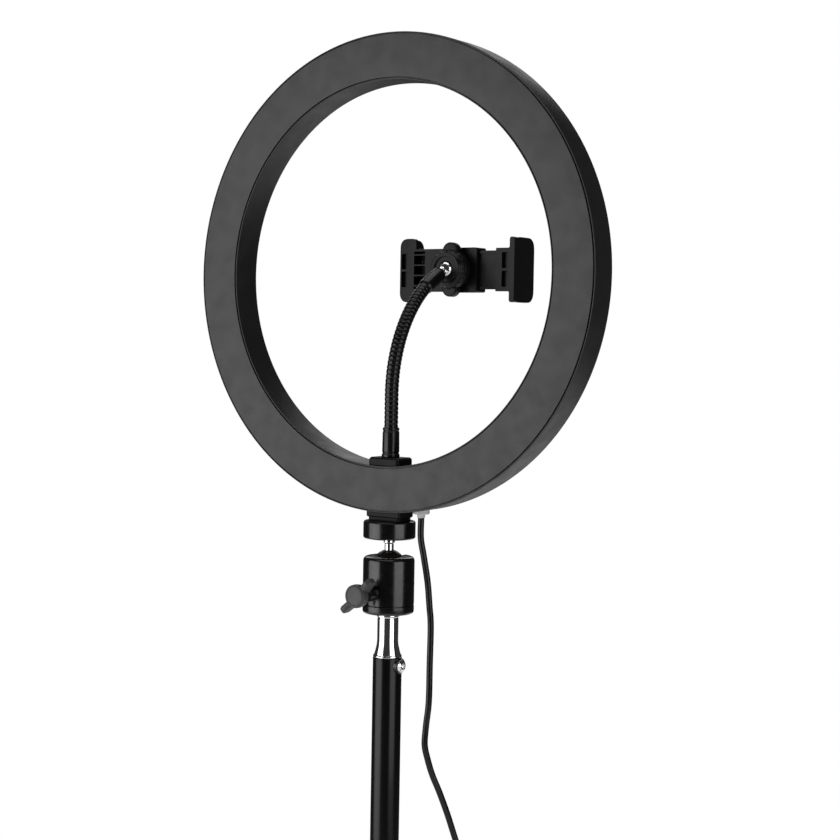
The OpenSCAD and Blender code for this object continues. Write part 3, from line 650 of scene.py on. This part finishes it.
def neck_point(angle):
    a = math.radians(angle)
    return Vector((0, NECK_R * (math.cos(a) - 1) * MM, NECK_BEND_Z + NECK_R * math.sin(a) * MM))


def neck_way(angle):
    a = math.radians(angle)
    return Vector((0, -math.sin(a), math.cos(a)))


def rib_radius(length):
    """A wound strip: round-topped ribs with narrow grooves between them."""
    return HOSE_R - RIB_DEPTH * (1 - abs(math.sin(math.pi * length / RIB_PITCH))) ** 2


def even_steps(path, step):
    """Points about step mm apart along a path."""
    made, carry = [path[0]], 0.0
    for a, b in zip(path, path[1:]):
        gap = (b - a).length / MM
        while carry + gap >= step:
            a = a + (b - a) * ((step - carry) / gap)
            gap = (b - a).length / MM
            made.append(a)
            carry = 0.0
        carry += gap
    return made


def hose(name, path, start_length, replaced):
    made = add_sweep(bmesh.new(), path, lambda length: rib_radius(length + start_length), sides=32)
    piece = finished(name, made, None, replaced, "neck_black", sharp=75)
    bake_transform(piece)
    return piece


def make_hose():
    step = RIB_PITCH / 8
    straight = [Vector((0, 0, HOSE_FOOT_Z)), Vector((0, 0, NECK_BEND_Z))]
    bend = [neck_point(NECK_END * i / 200) for i in range(1, 201)]
    line = even_steps(straight + bend, step)
    halfway = neck_point((neck_angle("neck_bend_lower") + neck_angle("neck_bend_upper")) / 2)
    middle_index = min(range(len(line)), key=lambda i: (line[i] - halfway).length)
    hose("neck_hose_lower", line[:middle_index + 1], 0,
         ["neck_lower", "neck_middle"])
    hose("neck_hose_upper", line[middle_index:], middle_index * step,
         ["neck_upper"])


make_hose()


# ---- mast ----

def heights(node):
    """The bottom and top of a node, in mm."""
    low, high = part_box(node)
    return low.z / MM, high.z / MM


def make_tube(name, node, bore, body):
    low, high = heights(node)
    radius = span(node).x / MM / 2
    profile = [(bore, low, 0.3), (radius, low, 0.4), (radius, high, 0.5), (bore, high, 0.3)]
    finished(name, turned(profile, steps=128, closed=True), body, [node], "stand_black", TUBE_BLACK)


make_tube("mast_lower", "lower_tube", 9.9, "stand_base")
make_tube("mast_middle", "middle_tube", 8.4, "middle_mast")
make_tube("mast_upper", "upper_tube", 6.8, "upper_mast")


def make_spigot():
    low, high = heights("spigot")
    top, base = heights("head_base")[0], heights("upper_tube")[1]
    profile = [
        (0, low), (6.8, low, 0.5), (6.8, base - 0.2), (7.6, base + 0.02), (7.9, base + 0.3, 0.3),
        (7.9, base + 1, 0.3), (7.35, base + 1.5, 0.4), (6.9, base + 3, 3), (6.05, base + 6.6, 2.5),
        (5.8, base + 9, 3), (5.8, top - 3, 0.3), (5.55, top - 2.75, 0.2), (5.55, top - 2.3, 0.2),
        (6.25, top - 1.95, 0.3), (6.25, top - 0.05, 0.3), (3, top - 0.05), (3, high), (0, high),
    ]
    finished("mast_spigot", turned(profile, steps=128), "upper_mast", ["spigot"], "chrome")


make_spigot()
SCREW_Z = middle("spigot_screw").z


def make_spigot_screw():
    place = axes((0, 0, SCREW_Z), -X, Z)
    dome = [(0, 2), (1.6, 2, 0.2), (1.6, 9.35), (3.7, 9.35, 0.3), (3.55, 9.8, 0.4), (2.9, 10.35, 0.8),
            (1.9, 10.8, 0.5), (1.55, 10.82, 0.15), (1.35, 9.9, 0.15), (0, 9.7)]
    finished("spigot_screw_head", turned(dome, place, 64), "upper_mast", ["spigot_screw"], "chrome")
    ring = [(1.75, 8.1), (4.3, 7.0), (4.3, 9.1, 0.4), (3.9, 9.3, 0.3), (1.75, 9.3, 0.2)]
    finished("spigot_washer", turned(ring, place, 64, closed=True), "upper_mast", ["screw_washer"],
             "washer_black")


make_spigot_screw()


def extent_along(node, origin, way):
    """The lowest and highest of a node along a direction from a point, in mm."""
    shape = frame["nodes"][node]
    along = [(shape.matrix_world @ vertex.co - origin).dot(way) / MM for vertex in shape.data.vertices]
    return min(along), max(along)


KNOB_R = 13.4
KNOB_DEPTH = 14.6
SCALLOP_R = 6
SCALLOP_AT = 17
THREAD_PITCH = 1.25


def lobes(inset):
    """Radius of a knob with five round scallops at an angle, less an inset."""
    def radius(angle):
        away = (angle + math.pi / 5) % (math.tau / 5) - math.pi / 5
        side = SCALLOP_AT * math.sin(away)
        if abs(side) > SCALLOP_R + 0.5:
            return KNOB_R - inset
        near = SCALLOP_AT * math.cos(away) - math.sqrt(max(0, SCALLOP_R ** 2 - side * side))
        soft = 0.35 * max(0, 1 - abs(near - KNOB_R) / 1.4) ** 2
        return min(near, KNOB_R) - soft - inset
    return radius


def make_knob(name, node, body, joint):
    """A five-lobed knob with a dished face and a capped screw, on its threaded shaft."""
    way = Vector(JOINTS[joint]["axis"])
    origin = Vector((0, 0, axis_point(joint).z))
    tip, end = extent_along(node, origin, way)
    seat = end - KNOB_DEPTH
    place = axes(origin, way, Z)
    made = bmesh.new()
    thread = [(0, tip), (2.4, tip)]
    for k in range(int((seat - tip - 1) / THREAD_PITCH)):
        start = tip + THREAD_PITCH * k
        thread += [(2.55, start + 0.3), (3, start + 0.8), (2.55, start + 1.3)]
    add_turned(made, thread + [(3, seat), (0, seat + 0.5)], place, 48)
    grip = [
        (0, seat), (5.4, seat), (6, seat + 0.5), (6, seat + 2.6), (6.6, seat + 3.2),
        (lobes(2.4), seat + 3.3), (lobes(0.9), seat + 3.8), (lobes(0.2), seat + 4.7),
        (lobes(0), seat + 5.8), (lobes(0), seat + 11.2), (lobes(0.25), seat + 12.3),
        (lobes(1), seat + 13.3), (lobes(2.2), seat + 13.9), (lobes(3.2), seat + 14.1), (6.4, seat + 14.2),
        (6.1, seat + 14.1), (5.7, seat + 13.3), (5.2, seat + 13.2), (4.9, seat + 14.2),
        (4.4, end - 0.05), (0, end),
    ]
    add_turned(made, grip, place, 180)
    finished(name, made, body, [node], "knob_plastic", sharp=50)


make_knob("knob_collar", "collar_knob", "collar_knob", "collar_knob_turn")
make_knob("knob_lower", "lower_knob", "lower_knob", "lower_knob_turn")
make_knob("knob_upper", "upper_knob", "upper_knob", "upper_knob_turn")


# ---- feet ----

FOOT_LIFT = 9
FOOT_R = 10.5


def make_foot(i):
    """A rubber boot on the leg's end, ribbed round its sleeve and flat where it stands."""
    ball = MOUNTS[f"foot_{i}_sole"] + FOOT_LIFT * MM * Z
    way = (ball - axis_point(f"leg_{i}_pivot")).normalized()
    place = axes(ball, way, way.cross(Z))
    profile = [(7.05, -34), (8.2, -34, 0.4), (8.7, -33, 0.5), (8.7, -30.5, 0.5)]
    for k in range(5):
        start, crest = 3 * k - 30, 8.9 + 0.1 * k
        profile += [(8.1, start, 0.4), (8.1, start + 1.2, 0.4), (crest, start + 1.7, 0.4),
                    (crest, start + 2.8, 0.4)]
    profile += [(9.6, -13, 1), (10.3, -4, 3)]
    outline = rounded(profile, closed=False, steps=4) + arc_points((0, 0), FOOT_R, -8, 90, 14)
    made = add_turned(bmesh.new(), outline[:-1] + [(0, FOOT_R)], place, 96)
    for vertex in made.verts:
        vertex.co.z = max(vertex.co.z, 0)
    finished(f"foot_boot_{i}", made, f"leg_{i}", [f"foot_{i}"], "foot_rubber")


for i in (1, 2, 3):
    make_foot(i)


# ---- ball head ----

HOUSING_R = span("head_housing").x / MM / 2
WING_Z = axis_point("wing_turn").z


def make_platform():
    low, high = heights("platform")
    profile = [(0, low + 0.4), (HOUSING_R - 0.5, low + 0.4, 0.5), (HOUSING_R + 0.2, low + 1, 0.6),
               (HOUSING_R + 0.2, high, 1.2), (3, high)]
    finished("tilt_platform", turned(profile, steps=160), "ring_head", ["platform"], "head_black")
    low, high = heights("stem_stud")
    bottom = heights("platform")[0]
    stud = [(0, low), (2.5, low, 0.3), (2.5, bottom - 2.6, 0.3), (3.1, bottom - 2, 0.4), (3.1, bottom, 0.2),
            (3, bottom), (3, high - 0.6), (2.4, high), (0, high)]
    finished("tilt_stem", turned(stud, steps=96), "ring_head", ["stem_stud"], "chrome")


make_platform()


def wing_outline():
    """One wing, as distance from the screw's axis and height."""
    return rounded([(2.5, 0.6), (5.5, 0.4, 2), (9.5, 0.9, 3), (13, 2.6, 2.4), (13.2, 7.8, 2.6),
                    (10.6, 9.4, 2.4), (6.5, 8.3, 3), (2.5, 8.3)], steps=6)


def make_wing_screw():
    """A moulded wing screw: neck, hub with a capped face, and two rounded wings."""
    place = axes((0, 0, WING_Z), Y, X)
    made = bmesh.new()
    hub = [(0, 25.5), (4.8, 25.5, 0.5), (6.1, 27, 0.8), (6.4, 29, 1), (6.3, 31.4, 0.7), (5.4, 32.1, 0.4),
           (4.9, 32.2, 0.2), (4.7, 31.9, 0.2), (0, 32)]
    add_turned(made, rounded(hub, closed=False), place, 96)
    for side in (1, -1):
        out = (X - Z).normalized() * side
        wing = axes(Y * (HOUSING_R + 8.8) * MM + Z * WING_Z, out.cross(Y), out)
        add_slab(made, wing_outline(), -1.7, 1.7, wing, edge=0.9, segments=4)
    finished("wing_lock", made, "wing_screw", ["wing_screw"], "wing_grey", sharp=50)
    stem = [(0, 10), (2.4, 10, 0.4), (2.4, 14.6), (4.3, 14.7, 0.4), (4.3, 18, 0.8), (3.9, 21, 2),
            (4.3, 25.6), (0, 25.8)]
    finished("wing_stem", turned(stem, place), "wing_screw", (), "washer_black")


make_wing_screw()


# ---- what joins the ring to the head and the neck ----

def under_ring(x):
    """Height of the ring's underside at a distance beside the mast, in metres."""
    return RING_Z - math.sqrt(RING_R ** 2 - (x / MM) ** 2) * MM


def over_ring(x):
    return RING_Z - math.sqrt(RING_HOLE_R ** 2 - (x / MM) ** 2) * MM


def add_saddle(target, width, depth, corner, flat, curved, edge):
    """A block with one flat end, whose other end fits the ring. Both ends are heights in metres."""
    outline = box_outline(width, depth, corner)
    inner = box_outline(width - 2 * edge, depth - 2 * edge, max(0.2, corner - edge))
    rise = edge * MM if curved(0) > flat else -edge * MM
    rings = [[(u, v, flat) for u, v in inner], [(u, v, flat + rise) for u, v in outline],
             [(u, v, None) for u, v in outline]]
    made = []
    for ring in rings:
        made.append([target.verts.new((u * MM, v * MM, curved(u * MM) if z is None else z))
                     for u, v, z in ring])
    for low, high in zip(made, made[1:]):
        bridge(target, low, high)
    target.faces.new(made[0])
    target.faces.new(made[-1])
    return target


def make_lower_bracket():
    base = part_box("platform")[1].z
    made = add_slab(bmesh.new(), box_outline(20.5, 12.6, 1.5), base / MM, base / MM + 2.4, edge=0.3)
    add_saddle(made, 22.4, 13.8, 1.2, base + 2 * MM, under_ring, 0.6)
    finished("ring_shoe", made, "ring_head", ["lower_bracket"], "head_black", BRACKET_BLACK)


def make_neck_bracket():
    made = add_saddle(bmesh.new(), 20.5, 14.6, 2.5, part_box("neck_bracket")[1].z, over_ring, 1)
    finished("neck_shoe", made, "ring_head", ["neck_bracket"], "head_black", BRACKET_BLACK)


make_lower_bracket()
make_neck_bracket()


def make_grommet():
    """A collar against the ring and a soft neck round the cord."""
    place = Matrix.Translation(Vector((CORD_EXIT.x, CORD_EXIT.y, RING_Z)))
    profile = [(1.8, -131.9), (2.1, -131.9, 0.2), (2.2, -130.1, 0.2), (4.2, -129.9, 0.2), (4.6, -129.4, 0.3),
               (4.6, -127), (1.8, -127)]
    finished("cord_grommet", turned(profile, place, 64, closed=True), "ring_head", ["cable_grommet"],
             "grommet_grey")


make_grommet()


# ---- neck fittings and the clamp's joint ----

def make_ferrule():
    low = heights("neck_ferrule")[0]
    mouth = low + 20.4
    profile = [(0, low), (2.5, low, 0.3), (2.5, low + 4), (4.9, low + 4, 0.3), (4.95, low + 5.6, 0.3),
               (4.5, low + 6, 0.2), (4.5, low + 6.6, 0.2), (4.75, low + 7, 0.2), (4.6, mouth - 2.5, 0.2),
               (4.35, mouth - 2.2, 0.2), (4.35, mouth - 1.7, 0.2), (4.6, mouth - 1.4, 0.2),
               (4.5, mouth - 0.2, 0.4), (3.9, mouth, 0.2), (3.9, low + 7), (0, low + 7)]
    finished("neck_cup", turned(profile, steps=96), "neck_lower", ["neck_ferrule"], "neck_black")


make_ferrule()
STUD_SHANK = 8
STUD_BALL_R = 5
NECK_TIP = axes(neck_point(NECK_END), neck_way(NECK_END), X)


def make_end_sleeve():
    """The smooth sleeve that closes the hose's end."""
    first, last, steps = NECK_END - 13, NECK_END + 0.5, 36
    path = [neck_point(first + (last - first) * i / steps) for i in range(steps + 1)]
    length = path_length(path) / MM

    def radius_at(way):
        return 4.35 - 0.5 * max(0, 1 - way) ** 2 - 0.9 * max(0, 1 - (length - way) / 2.2) ** 2

    made = add_sweep(bmesh.new(), path, radius_at, sides=48)
    finished("neck_sleeve", made, "neck_upper", (), "neck_black", sharp=50)


make_end_sleeve()


def make_stud():
    outline = rounded([(0, -3), (3.5, -3, 0.2), (3.5, 0.9, 0.4), (2.9, 1.3, 0.2), (2.9, 2.0, 0.2),
                       (2.3, 2.5, 0.3), (2.3, 3.6)], closed=False)
    outline += [(r, STUD_SHANK + h) for r, h in arc_points((0, 0), STUD_BALL_R, -61, 90, 24)]
    made = add_turned(bmesh.new(), outline[:-1] + [(0, STUD_SHANK + STUD_BALL_R)], NECK_TIP, 64)
    finished("neck_stud", made, "neck_upper", ["ball_stud"], "chrome")


make_stud()
STUD_BALL = axes(axis_point("clamp_tilt"), Y, X)


def make_socket():
    """The cup that holds the stud's ball, with a thread for the lock nut outside it."""
    profile = [(0, -11.4), (2.4, -11.4), (2.4, -9.5), (10, -9.5, 0.3), (10, -7.9, 0.4), (7.9, -7.9, 0.3)]
    for k in range(6):
        profile += [(7.9, THREAD_PITCH * k - 7), (7.5, THREAD_PITCH * k - 6.4)]
    profile += [(7.9, 0.6), (7.9, 1.2, 0.3), (7.6, 1.5, 0.2)]
    hollow = STUD_BALL_R + 0.1
    outline = rounded(profile, closed=False) + arc_points((0, 0), hollow, 17, -90, 24)[:-1] + [(0, -hollow)]
    made = add_turned(bmesh.new(), outline, STUD_BALL, 96)
    finished("clamp_cup", made, "clamp_socket", ["clamp_socket"], "clamp_black")


NUT_R = 11.05
EAR_R = 5
EAR_AT = 10.6
KNURLS = 24


def knurled(inset):
    return lambda angle: NUT_R + 0.4 * max(0, math.cos(KNURLS * angle)) ** 0.7 - inset


def eared(inset):
    """The nut's rim with a round ear above and one below."""
    def radius(angle):
        side, ear = EAR_AT * math.cos(angle), 0
        if abs(side) < EAR_R:
            ear = EAR_AT * abs(math.sin(angle)) + math.sqrt(EAR_R ** 2 - side * side)
        return max(NUT_R, ear) - inset
    return radius


def make_lock_nut():
    profile = [
        (8, -7.7), (eared(0.5), -7.7), (eared(0.15), -7.55), (eared(0), -7.2), (eared(0), -3.2),
        (eared(0.15), -2.85), (eared(0.5), -2.7), (knurled(0.5), -2.6), (knurled(0), -2.3),
        (knurled(0), -0.7), (knurled(0.4), -0.3), (10.5, -0.15), (10.2, 0.5), (9.75, 2.1), (9.5, 2.35),
        (9.2, 2.4), (7.3, 2.4), (7.1, 2.2), (7.1, 1.6), (8, 1.6),
    ]
    made = add_turned(bmesh.new(), profile, STUD_BALL, 288, closed=True)
    finished("clamp_lock_nut", made, "lock_nut", ["lock_nut"], "clamp_black", sharp=45)


SPRING_R = 1.5
SPRING_TURNS = 30
WIRE_R = 0.3


def make_springs():
    """Two wound tension springs inside the clamp, from the moving arm to the frame."""
    low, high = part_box("jaw_springs")
    made = bmesh.new()
    inset = (SPRING_R + WIRE_R) * MM
    steps = 12  # in each turn
    for z in (low.z + inset, high.z - inset):
        centre = Vector((0, (low.y + high.y) / 2, z))
        path = []
        for k in range(SPRING_TURNS * steps + 1):
            angle = math.tau * k / steps
            x = low.x + (high.x - low.x) * k / (SPRING_TURNS * steps)
            path.append(centre + X * x + (Y * math.cos(angle) + Z * math.sin(angle)) * SPRING_R * MM)
        add_sweep(made, path, lambda length: WIRE_R, sides=6)
    piece = finished("jaw_spring_wires", made, None, ["jaw_springs"], "steel", SPRING_STEEL)
    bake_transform(piece)


make_socket()
make_lock_nut()
make_springs()


# ---- phone clamp ----

JAW_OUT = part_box("clamp_frame")[1].x / MM
JAW_IN = JAW_OUT - 2
JAW_H = span("clamp_frame").z / MM
BAR_H = 24.6
CLAMP_REAR = axis_point("clamp_tilt") - Y * 9.5 * MM
FACING_BACK = axes(CLAMP_REAR, Y, X)
FACING_SIDE = axes(CLAMP_REAR, X, Y)


def add_upright(target, x, y, z, corner):
    """Adds a bar from back to front. Each of x, y and z is a pair of limits in mm from the clamp's back."""
    moved = FACING_BACK @ Matrix.Translation(Vector((sum(x) / 2, -sum(z) / 2, 0)) * MM)
    return add_slab(target, box_outline(x[1] - x[0], z[1] - z[0], corner), y[0], y[1], moved)


def add_jaw(target, rise):
    """A jaw at the +X end, of full height from rise outwards, with its side plate and lip."""
    half, bar = JAW_H / 2, BAR_H / 2
    reach = min(8, JAW_OUT - rise - 1)
    flange = [(27, -bar), (rise, -bar, 1), (rise, -half, 3.5), (JAW_OUT, -half, reach),
              (JAW_OUT, half, reach), (rise, half, 3.5), (rise, bar, 1), (27, bar)]
    add_slab(target, rounded(flange, steps=8), -3, 0, FACING_BACK)
    plate = [(-0.4, -half, 6), (-0.4, half, 6), (-22, half, 7), (-22, -half, 7)]
    add_slab(target, [(y, -z) for y, z in rounded(plate, steps=10)], JAW_IN, JAW_OUT, FACING_SIDE)
    return add_upright(target, (JAW_IN - 4, JAW_IN + 1), (-22, -20), (7 - half, half - 7), 1.5)


def add_jaw_slots(target, inner):
    for z in ((-9.8, -0.7), (0.7, 9.8)):
        add_upright(target, (inner, inner + 4.2), (-2.4, 1), z, 0.7)
    return target


def mirrored(made):
    """Turns a bmesh into its mirror image across the clamp's middle."""
    for vertex in made.verts:
        vertex.co.x = -vertex.co.x
    bmesh.ops.reverse_faces(made, faces=made.faces)
    return made


def make_clamp_frame():
    made = add_jaw(bmesh.new(), 28)
    add_upright(made, (-14, 9), (-10, 0), (-12.8, 12.8), 1.2)
    add_upright(made, (8, JAW_IN + 0.2), (-10, 0), (-BAR_H / 2, BAR_H / 2), 0.8)
    cut = add_jaw_slots(bmesh.new(), 34)
    add_upright(cut, (-15, 26), (-7.6, -2.1), (-11.1, 11.1), 0.4)
    for z in ((-11, -9.4), (-8.6, -3.4), (-2.6, 2.6), (3.4, 8.6), (9.4, 11)):
        add_upright(cut, (21.6, 29.4), (-6, 1), z, 0.3)
    piece = finished("clamp_back_frame", carved(made, cut), "phone_clamp", ["clamp_frame"], "clamp_black")
    bevelled(piece, 0.3)


def make_clamp_arm():
    made = mirrored(add_jaw(bmesh.new(), 36))
    bar_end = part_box("clamp_arm")[1].x / MM
    add_upright(made, (-JAW_IN - 0.5, bar_end), (-7.5, -2.2), (-11, 11), 0.6)
    cut = mirrored(add_jaw_slots(bmesh.new(), 31))
    add_upright(cut, (-26, -14.6), (-3, 0), (-9.4, 9.4), 1)
    piece = finished("clamp_sliding_arm", carved(made, cut), "clamp_arm", ["clamp_arm"], "clamp_black")
    bevelled(piece, 0.3)


PAD_RIBS = 9


def make_pad(name, node, body):
    """A rubber pad, ribbed from front to back on its gripping face."""
    low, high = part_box(node)
    centre = middle(node)
    depth, height = span(node).y / MM, span(node).z / MM
    inward = 1 if centre.x < 0 else -1
    base = low.x if inward > 0 else high.x
    place = axes((base, centre.y, centre.z), X * inward, Y)
    made = add_slab(bmesh.new(), box_outline(depth, height, 1.5), 0, 0.75, place, edge=0.2)
    for k in range(PAD_RIBS):
        offset = (k / (PAD_RIBS - 1) - 0.5) * (height - 3)
        rib = place @ Matrix.Translation(Y * offset * MM)
        add_slab(made, box_outline(depth - 1.2, 1.3, 0.4), 0.4, 1.2, rib, edge=0.3)
    finished(name, made, body, [node], "pad_rubber")


make_clamp_frame()
make_clamp_arm()
make_pad("grip_pad_frame", "frame_pad", "phone_clamp")
make_pad("grip_pad_arm", "arm_pad", "clamp_arm")


# ---- plug ----

def boxed(width, height):
    """Polar form of a rectangle."""
    def radius(angle):
        c, s = abs(math.cos(angle)), abs(math.sin(angle))
        return min(width / 2 / max(c, 1e-6), height / 2 / max(s, 1e-6))
    return radius


PLUG_REACH = 40
GRIP_END = 28


def make_plug():
    place = axes(MOUNTS["usb_plug_tip"] - PLUG_WAY * PLUG_REACH * MM, PLUG_WAY, PLUG_WAY.cross(Z))
    made = add_slab(bmesh.new(), box_outline(15.8, 7.6, 2.4), 0, GRIP_END, place, edge=1, segments=3)
    for k in range(5):
        add_slab(made, box_outline(16, 5, 0.5), 6 + 3 * k, 7.4 + 3 * k, place, edge=0.4)
    relief = [(1.8, -18), (2.3, -18, 0.3)]
    for k in range(5):
        wider, start = 0.25 * k, 3.2 * k - 16.4
        relief += [(2.4 + wider, start, 0.3), (1.95 + wider, start + 0.2, 0.2),
                   (1.95 + wider, start + 1, 0.2), (2.55 + wider, start + 1.2, 0.3)]
    relief += [(3.7, -0.5, 0.3), (3.7, 0.8)]
    add_turned(made, rounded(relief, closed=False, steps=3), place, 48)
    tongue = place @ Matrix.Translation(-Y * 0.6 * MM)
    add_slab(made, box_outline(10.6, 1.5, 0.2), GRIP_END, PLUG_REACH - 0.8, tongue, edge=0.1)
    for side in (-1, 1):
        for across in (-2.6, 2.6):
            spot = place @ Matrix.Translation(Vector((across, side * 2.26, 33.5)) * MM)
            add_slab(made, box_outline(2.2, 0.05, 0.02, 2), -1.2, 1.2, spot)
    finished("plug_grip", made, "head_seat", ["usb_plug"], "cord_pvc", sharp=50)
    shell = [(boxed(12, 4.5), GRIP_END - 1), (boxed(12, 4.5), PLUG_REACH - 0.2),
             (boxed(11.8, 4.3), PLUG_REACH), (boxed(11.4, 3.9), PLUG_REACH),
             (boxed(11.3, 3.8), PLUG_REACH - 0.2), (boxed(11.3, 3.8), GRIP_END + 0.2), (0, GRIP_END + 0.2)]
    finished("plug_shell", add_turned(bmesh.new(), shell, place, 96), "head_seat", (), "steel", sharp=30)


make_plug()


# ---- CAD nodes that keep their shape ----

NODE_EDGE = 0.25


def polish(name, finish):
    """Gives a CAD node its material, and rounds its edges with modifiers."""
    node = frame["nodes"][name]
    node.data.materials.clear()
    node.data.materials.append(finish)
    weld = node.modifiers.new("weld", "WELD")
    weld.merge_threshold = 0.002 * MM
    flatten = node.modifiers.new("flatten", "DECIMATE")
    flatten.decimate_type = "DISSOLVE"
    flatten.angle_limit = math.radians(0.5)
    bevelled(node, NODE_EDGE)
    for polygon in node.data.polygons:
        polygon.use_smooth = True
    if "custom_normal" in node.data.attributes:
        node.data.attributes.remove(node.data.attributes["custom_normal"])
    node.data.set_sharp_from_angle(angle=math.radians(SHARP_ANGLE))


for part in frame["record"]["subparts"]:
    if not frame["nodes"][part["node"]].hide_render:
        polish(part["node"], SLOT_FINISH[part["material_slot"]])


# ---- studio ----

TO_CAMERA = Vector((CAMERA_FROM_RING.x, CAMERA_FROM_RING.y, 0)).normalized()
TO_LEFT = TO_CAMERA.cross(Z)
PANEL_DISTANCE = 2.9


def make_light(name, width, height, radiance, location, way):
    """A soft light that faces against the given way, and that the camera doesn't see."""
    data = bpy.data.lights.new(name, "AREA")
    data.shape = "RECTANGLE"
    data.size, data.size_y = width, height
    data.energy = radiance * math.pi * width * height
    light = placed(name, data)
    light.location = location
    light.rotation_euler = way.to_track_quat("Z", "Y").to_euler()
    light.visible_camera = False


def make_panel(name, angle, half_angle, low, high, radiance):
    """An upright light between two heights, at that angle left of the camera's side."""
    width = 2 * PANEL_DISTANCE * math.tan(math.radians(half_angle))
    a = math.radians(angle)
    way = TO_CAMERA * math.cos(a) + TO_LEFT * math.sin(a)
    make_light(name, width, high - low, radiance, way * PANEL_DISTANCE + Z * (low + high) / 2, way)


def make_world(surround):
    """White where the camera looks past the object, and a dim studio all round for everything else."""
    world = bpy.data.worlds.new("studio")
    bpy.context.scene.world = world
    world.use_nodes = True
    nodes, links = world.node_tree.nodes, world.node_tree.links
    dim = nodes["Background"]
    dim.inputs["Color"].default_value = (surround, surround, surround, 1)
    bright = nodes.new("ShaderNodeBackground")
    bright.inputs["Color"].default_value = (1, 1, 1, 1)
    rays = nodes.new("ShaderNodeLightPath")
    mix = nodes.new("ShaderNodeMixShader")
    links.new(rays.outputs["Is Camera Ray"], mix.inputs["Fac"])
    links.new(dim.outputs["Background"], mix.inputs[1])
    links.new(bright.outputs["Background"], mix.inputs[2])
    links.new(mix.outputs["Shader"], nodes["World Output"].inputs["Surface"])


FLOOR_R = 2.6
GLOW_FROM, GLOW_TO = 0.9, 2.5


def make_floor():
    """A round pale floor, whose own glow grows outwards so that it meets the white without an edge."""
    target = bmesh.new()
    bmesh.ops.create_circle(target, cap_ends=True, segments=128, radius=FLOOR_R)
    finish = Finish("floor", (0.45, 0.45, 0.45), 0.6, specular=0.2)
    finish.mottled(400, 0.01).uneven(200, 0.05)
    finish.set("Emission Color", (1, 1, 1, 1))
    distance = finish.node("ShaderNodeVectorMath")
    distance.operation = "LENGTH"
    finish.link(finish.place, distance.inputs[0])
    brighter = finish.spread(distance.outputs["Value"], 0.45, 0.9, GLOW_FROM, GLOW_TO)
    finish.link(brighter, finish.shader.inputs["Emission Strength"])
    floor = finished("floor", target, None, (), None, finish.material)
    floor.location.z = -0.1 * MM


make_panel("left_panel", 71, 27, 0.12, 2.6, 2.2)
make_panel("low_left_panel", 60, 20, 0.1, 1.15, 0.8)
make_panel("right_panel", -46, 21, 0.42, 2.6, 2.3)
make_panel("front_panel", 180, 24, 1.9, 3.3, 1.2)
make_light("top_light", 2.4, 2.4, 1.2, Z * 3.4, Z)
make_world(0.035)
make_floor()
bpy.context.scene.view_settings.view_transform = "Standard"
